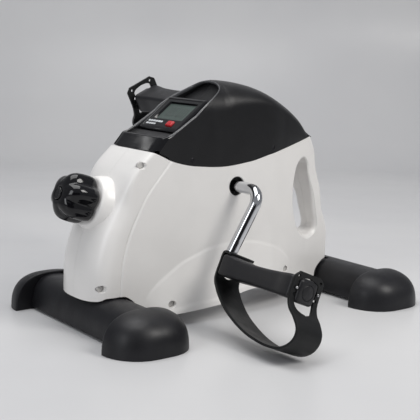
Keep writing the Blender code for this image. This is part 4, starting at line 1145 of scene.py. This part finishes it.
def make_screws():
    for i, (x, z) in enumerate(SHELL_SCREWS):
        # a plug closes each recess above its screw
        face = shell_mouth(x, z) - 3.6
        profile = [(face - 0.3, 0.02), (face, PLUG_RADIUS - 1.4), (face - 0.1, PLUG_RADIUS - 0.5),
                   (face - 0.5, PLUG_RADIUS), (face - 3.2, PLUG_RADIUS - 0.3), (face - 3.2, 0.02)]
        plug = lathe(f"shell_screw_plug_{i + 1}", profile, axis_out(x, z, -1), 48, 50)
        plug.data.transform(oval(x))
        # the plugs get the grey look, painted shade of their recesses
        finish_piece(plug, "frame", "white_shell", f"shell_screw_{i + 1}", look=PLUG_PAINTED_SHADE)
    for side, sign in SIDES:
        for i, (x, z) in enumerate(COVER_SCREWS):
            y = sign * (float(body_width(x)) - 0.2)
            head = screw_head(f"cover_screw_head_{side}_{i + 1}", x, y, z, sign, COVER_SCREW_RADIUS)
            finish_piece(head, "frame", "steel", f"cover_screw_{side}_{i + 1}", look=BLACKED)


# ---- monitor
LEGEND_START = 37.5


def monitor_matrix():
    """X runs up the slope of the monitor's face, Y across it and Z out of it."""
    slope = (MONITOR_HIGH - MONITOR_LOW).normalized()
    across = Vector((0, 1, 0))
    basis = Matrix((slope, across, slope.cross(across))).transposed().to_4x4()
    return Matrix.Translation((MONITOR_LOW + MONITOR_HIGH) / 2) @ basis


def nested(name, levels, place, smooth=30):
    """A skin over stacked rounded rectangles, each (x0, x1, y0, y1, corner radius, height)."""
    rings = [[place @ Vector((x, y, height)) for x, y in rounded_rectangle(*level, 7)]
             for *level, height in levels]
    return loft(name, rings, smooth=smooth)


def case_levels():
    """The case's rings as insets of its outline: back, seam, rim and the sunken front."""
    a, b = MONITOR_HALF_HEIGHT, MONITOR_HALF_WIDTH
    # (inset at the low end, inset at the high end, inset at the sides, corner radius, height)
    insets = [(3, 3, 3, 1.5, -11), (0, 0, 0, 3, -10.4), (0, 0, 0, 3.5, -6.4), (0.8, 0.8, 0.8, 3, -5.8),
              (0.8, 0.8, 0.8, 3, -5.2), (0, 0, 0, 3.5, -4.6), (0, 0, 0, 3.5, -1.8),
              (0.9, 0.9, 0.9, 3.2, -0.6), (4.0, 3.4, 4.6, 3.0, 0), (4.6, 4.0, 5.2, 2.8, 0),
              (5.2, 4.6, 5.8, 2.6, -0.4), (5.6, 5.0, 6.2, 2.4, -1.0)]
    return [(low - a, a - high, side - b, b - side, radius, height)
            for low, high, side, radius, height in insets]


def make_case(place):
    case = nested("monitor_housing", case_levels(), place, 28)
    window = nested("window", [(-12.5, 23.5, -34, 33, 1.6, 1), (-9.8, 21.4, -30.6, 30.6, 1.0, -4.4)], place)
    hole = nested("hole", [(*BUTTON_ALONG, *BUTTON_ACROSS, 1.6, height) for height in (1, -6)], place)
    cut(case, window, hole)
    shade(case, 28)
    finish_piece(case, "frame", "gloss_black", "monitor_case")


def make_display(place):
    glass = nested("display", [(-10.2, 22, -31.2, 31.2, 1, height) for height in (-5.2, -3.8)], place)
    finish_piece(glass, "frame", "lcd_glass", "lcd_panel")
    for i, y in enumerate((-17, -6.5, 6.5, 17)):
        digit = seven_segments(f"display_digit_{i + 1}", 6, y, place)
        finish_piece(digit, "frame", "lcd_glass", look=DISPLAY_INK)


def make_legend(place):
    """Two rows of plain bars where the maker's lettering would be."""
    bars = []
    for low, high, widths in ((-18.6, -15.4, (5.2, 3.8, 5.6, 4.4, 6.2, 3.6)),
                              (-23.8, -20.8, (6.4, 4.2, 5.0, 4.0))):
        end = LEGEND_START
        for wide in widths:
            bars.append(nested("legend", [(low, high, end - wide, end, 0.7, height)
                                          for height in (-1.05, -0.8)], place))
            end -= wide + 0.8
    finish_piece(join("legend_marks", bars), "frame", "white_shell", look=PRINT)


def make_monitor():
    place = monitor_matrix()
    make_case(place)
    make_display(place)
    make_legend(place)
    (low, high), (left, right) = BUTTON_ALONG, BUTTON_ACROSS
    button = nested("reset_button", [
        (low + inset, high - inset, left + inset, right - inset, 1.4, rise)
        for inset, rise in ((0.5, -4.2), (0.5, 0.3), (0.9, 1.0), (2.0, 1.4))], place, 45)
    finish_piece(button, "button", "red_button", "monitor_button")


def seven_segments(name, x, y, place):
    """A nought in seven-segment style, lying just proud of the display."""
    tall, half, bar = 7.5, 3.2, 1.1
    spans = []
    for near, far in ((y - half, y - half + bar), (y + half - bar, y + half)):
        spans += [(x - tall, x - 0.5, near, far), (x + 0.5, x + tall, near, far)]
    for low, high in ((x - tall - bar, x - tall), (x + tall, x + tall + bar)):
        spans.append((low, high, y - half + 0.8, y + half - 0.8))
    return join(name, [nested(f"{name}_{i}", [(*span, 0.3, height) for height in (-3.82, -3.68)], place)
                       for i, span in enumerate(spans)])


def join(name, parts):
    """Makes one object of several."""
    bm = bmesh.new()
    for part in parts:
        bm.from_mesh(part.data)
        bpy.data.objects.remove(part)
    mesh = bpy.data.meshes.new(name)
    bm.to_mesh(mesh)
    bm.free()
    obj = bpy.data.objects.new(name, mesh)
    SCENE.collection.objects.link(obj)
    return obj


# ---- stage and camera
CAMERA_PLACE = (-0.8347, -1.0835, 0.3705)
CAMERA_AZIMUTH = math.radians(-37.11)
CAMERA_ELEVATION = math.radians(9.76)
CAMERA_ROLL = math.radians(1.473)
CAMERA_LENS = 84.85
FLOOR_TURN = math.radians(52.9)
FLOOR_END = 1500
SWEEP_RADIUS = 500


def make_stage():
    """A pale floor that sweeps up into a backdrop, and a dark card for the reflections."""
    profile = [(-2600, 0), (FLOOR_END, 0)]
    for angle in np.linspace(0, math.pi / 2, 20)[1:]:
        profile.append((FLOOR_END + SWEEP_RADIUS * math.sin(angle), SWEEP_RADIUS * (1 - math.cos(angle))))
    profile.append((FLOOR_END + SWEEP_RADIUS, 3600))
    verts = [(a, y, b) for y in (-4000, 4000) for a, b in profile]
    floor = new_object("floor", verts, grid_faces(2, len(profile)), None)
    floor.data.transform(Matrix.Rotation(FLOOR_TURN, 4, "Z"))
    m = Nodes("studio_floor")
    m.set(Base_Color=m.mix(m.ramp(m.noise(2.0, 3), 0.3, 0.7), (0.56, 0.56, 0.57), (0.59, 0.59, 0.595)),
          Roughness=m.ramp(m.noise(9, 3), 0.3, 0.7, 0.30, 0.36), Specular_IOR_Level=0.3)
    floor.data.materials.append(m.mat)

    # the card stands behind the camera and is seen only in the bright metal and the polished black
    corners = [(-1300, 0), (1300, 0), (1300, 1250), (-1300, 1250)]
    card = new_object("card", [(x, -2700, z) for x, z in corners], [(0, 1, 2, 3)], None)
    card.data.transform(Matrix.Rotation(CAMERA_AZIMUTH, 4, "Z"))
    m = Nodes("dark_card")
    m.set(Base_Color=m.mix(m.ramp(m.noise(3, 2), 0.3, 0.7), (0.012, 0.012, 0.013), (0.02, 0.02, 0.021)),
          Roughness=m.ramp(m.noise(5, 2), 0.3, 0.7, 0.8, 0.9))
    card.data.materials.append(m.mat)
    card.visible_camera = card.visible_diffuse = card.visible_transmission = card.visible_shadow = False


def area_light(name, place, target, size, power, colour=(1, 1, 1), turn=0):
    """A rectangular lamp aimed at a target and turned about its own axis by some degrees."""
    light = bpy.data.lights.new(name, "AREA")
    light.shape = "RECTANGLE"
    light.size, light.size_y = size
    light.energy = power
    light.color = colour
    obj = bpy.data.objects.new(name, light)
    SCENE.collection.objects.link(obj)
    obj.location = place
    obj.rotation_mode = "QUATERNION"
    aim = (Vector(target) - Vector(place)).to_track_quat("-Z", "Y")
    obj.rotation_quaternion = aim @ Quaternion((0, 0, 1), math.radians(turn))


def make_lights():
    world = bpy.data.worlds.new("studio")
    world.use_nodes = True
    world.node_tree.nodes["Background"].inputs[0].default_value = (0.93, 0.95, 1.0, 1.0)
    world.node_tree.nodes["Background"].inputs[1].default_value = 0.30
    SCENE.world = world
    SCENE.view_settings.view_transform = "Standard"
    area_light("key", (0.55, -1.35, 1.5), (0, 0, 0.15), (0.8, 0.8), 21, (1, 0.98, 0.95))
    area_light("top", (-0.2, 0.1, 1.9), (0, 0, 0.1), (1.3, 1.3), 19)
    area_light("left", (-1.9, -0.4, 0.9), (-0.1, 0, 0.15), (0.6, 1.2), 8.5, (0.95, 0.97, 1))
    area_light("strip", (-0.617, 1.5, 1.136), (-0.1, 0, 0.25), (0.6, 0.02), 0.12, turn=-28)
    area_light("back", (0.3, 0.9, 2.2), (1.2, 1.9, 0.9), (1.2, 1.2), 9)


def make_camera():
    data = bpy.data.cameras.new("camera")
    data.lens = CAMERA_LENS
    data.sensor_width = 36
    camera = bpy.data.objects.new("camera", data)
    SCENE.collection.objects.link(camera)
    level = math.cos(CAMERA_ELEVATION)
    back = Vector((math.sin(CAMERA_AZIMUTH) * level, -math.cos(CAMERA_AZIMUTH) * level,
                   math.sin(CAMERA_ELEVATION)))
    right = (-back).cross(Vector((0, 0, 1))).normalized()
    up = right.cross(-back)
    c, s = math.cos(CAMERA_ROLL), math.sin(CAMERA_ROLL)
    rotation = Matrix((right * c + up * s, up * c - right * s, back)).transposed()
    camera.matrix_world = Matrix.Translation(CAMERA_PLACE) @ rotation.to_4x4()
    SCENE.camera = camera


dress_cad_nodes()
make_shells()
make_cover()
make_knob()
make_feet()
make_cranks()
make_screws()
make_monitor()
make_stage()
make_lights()
make_camera()
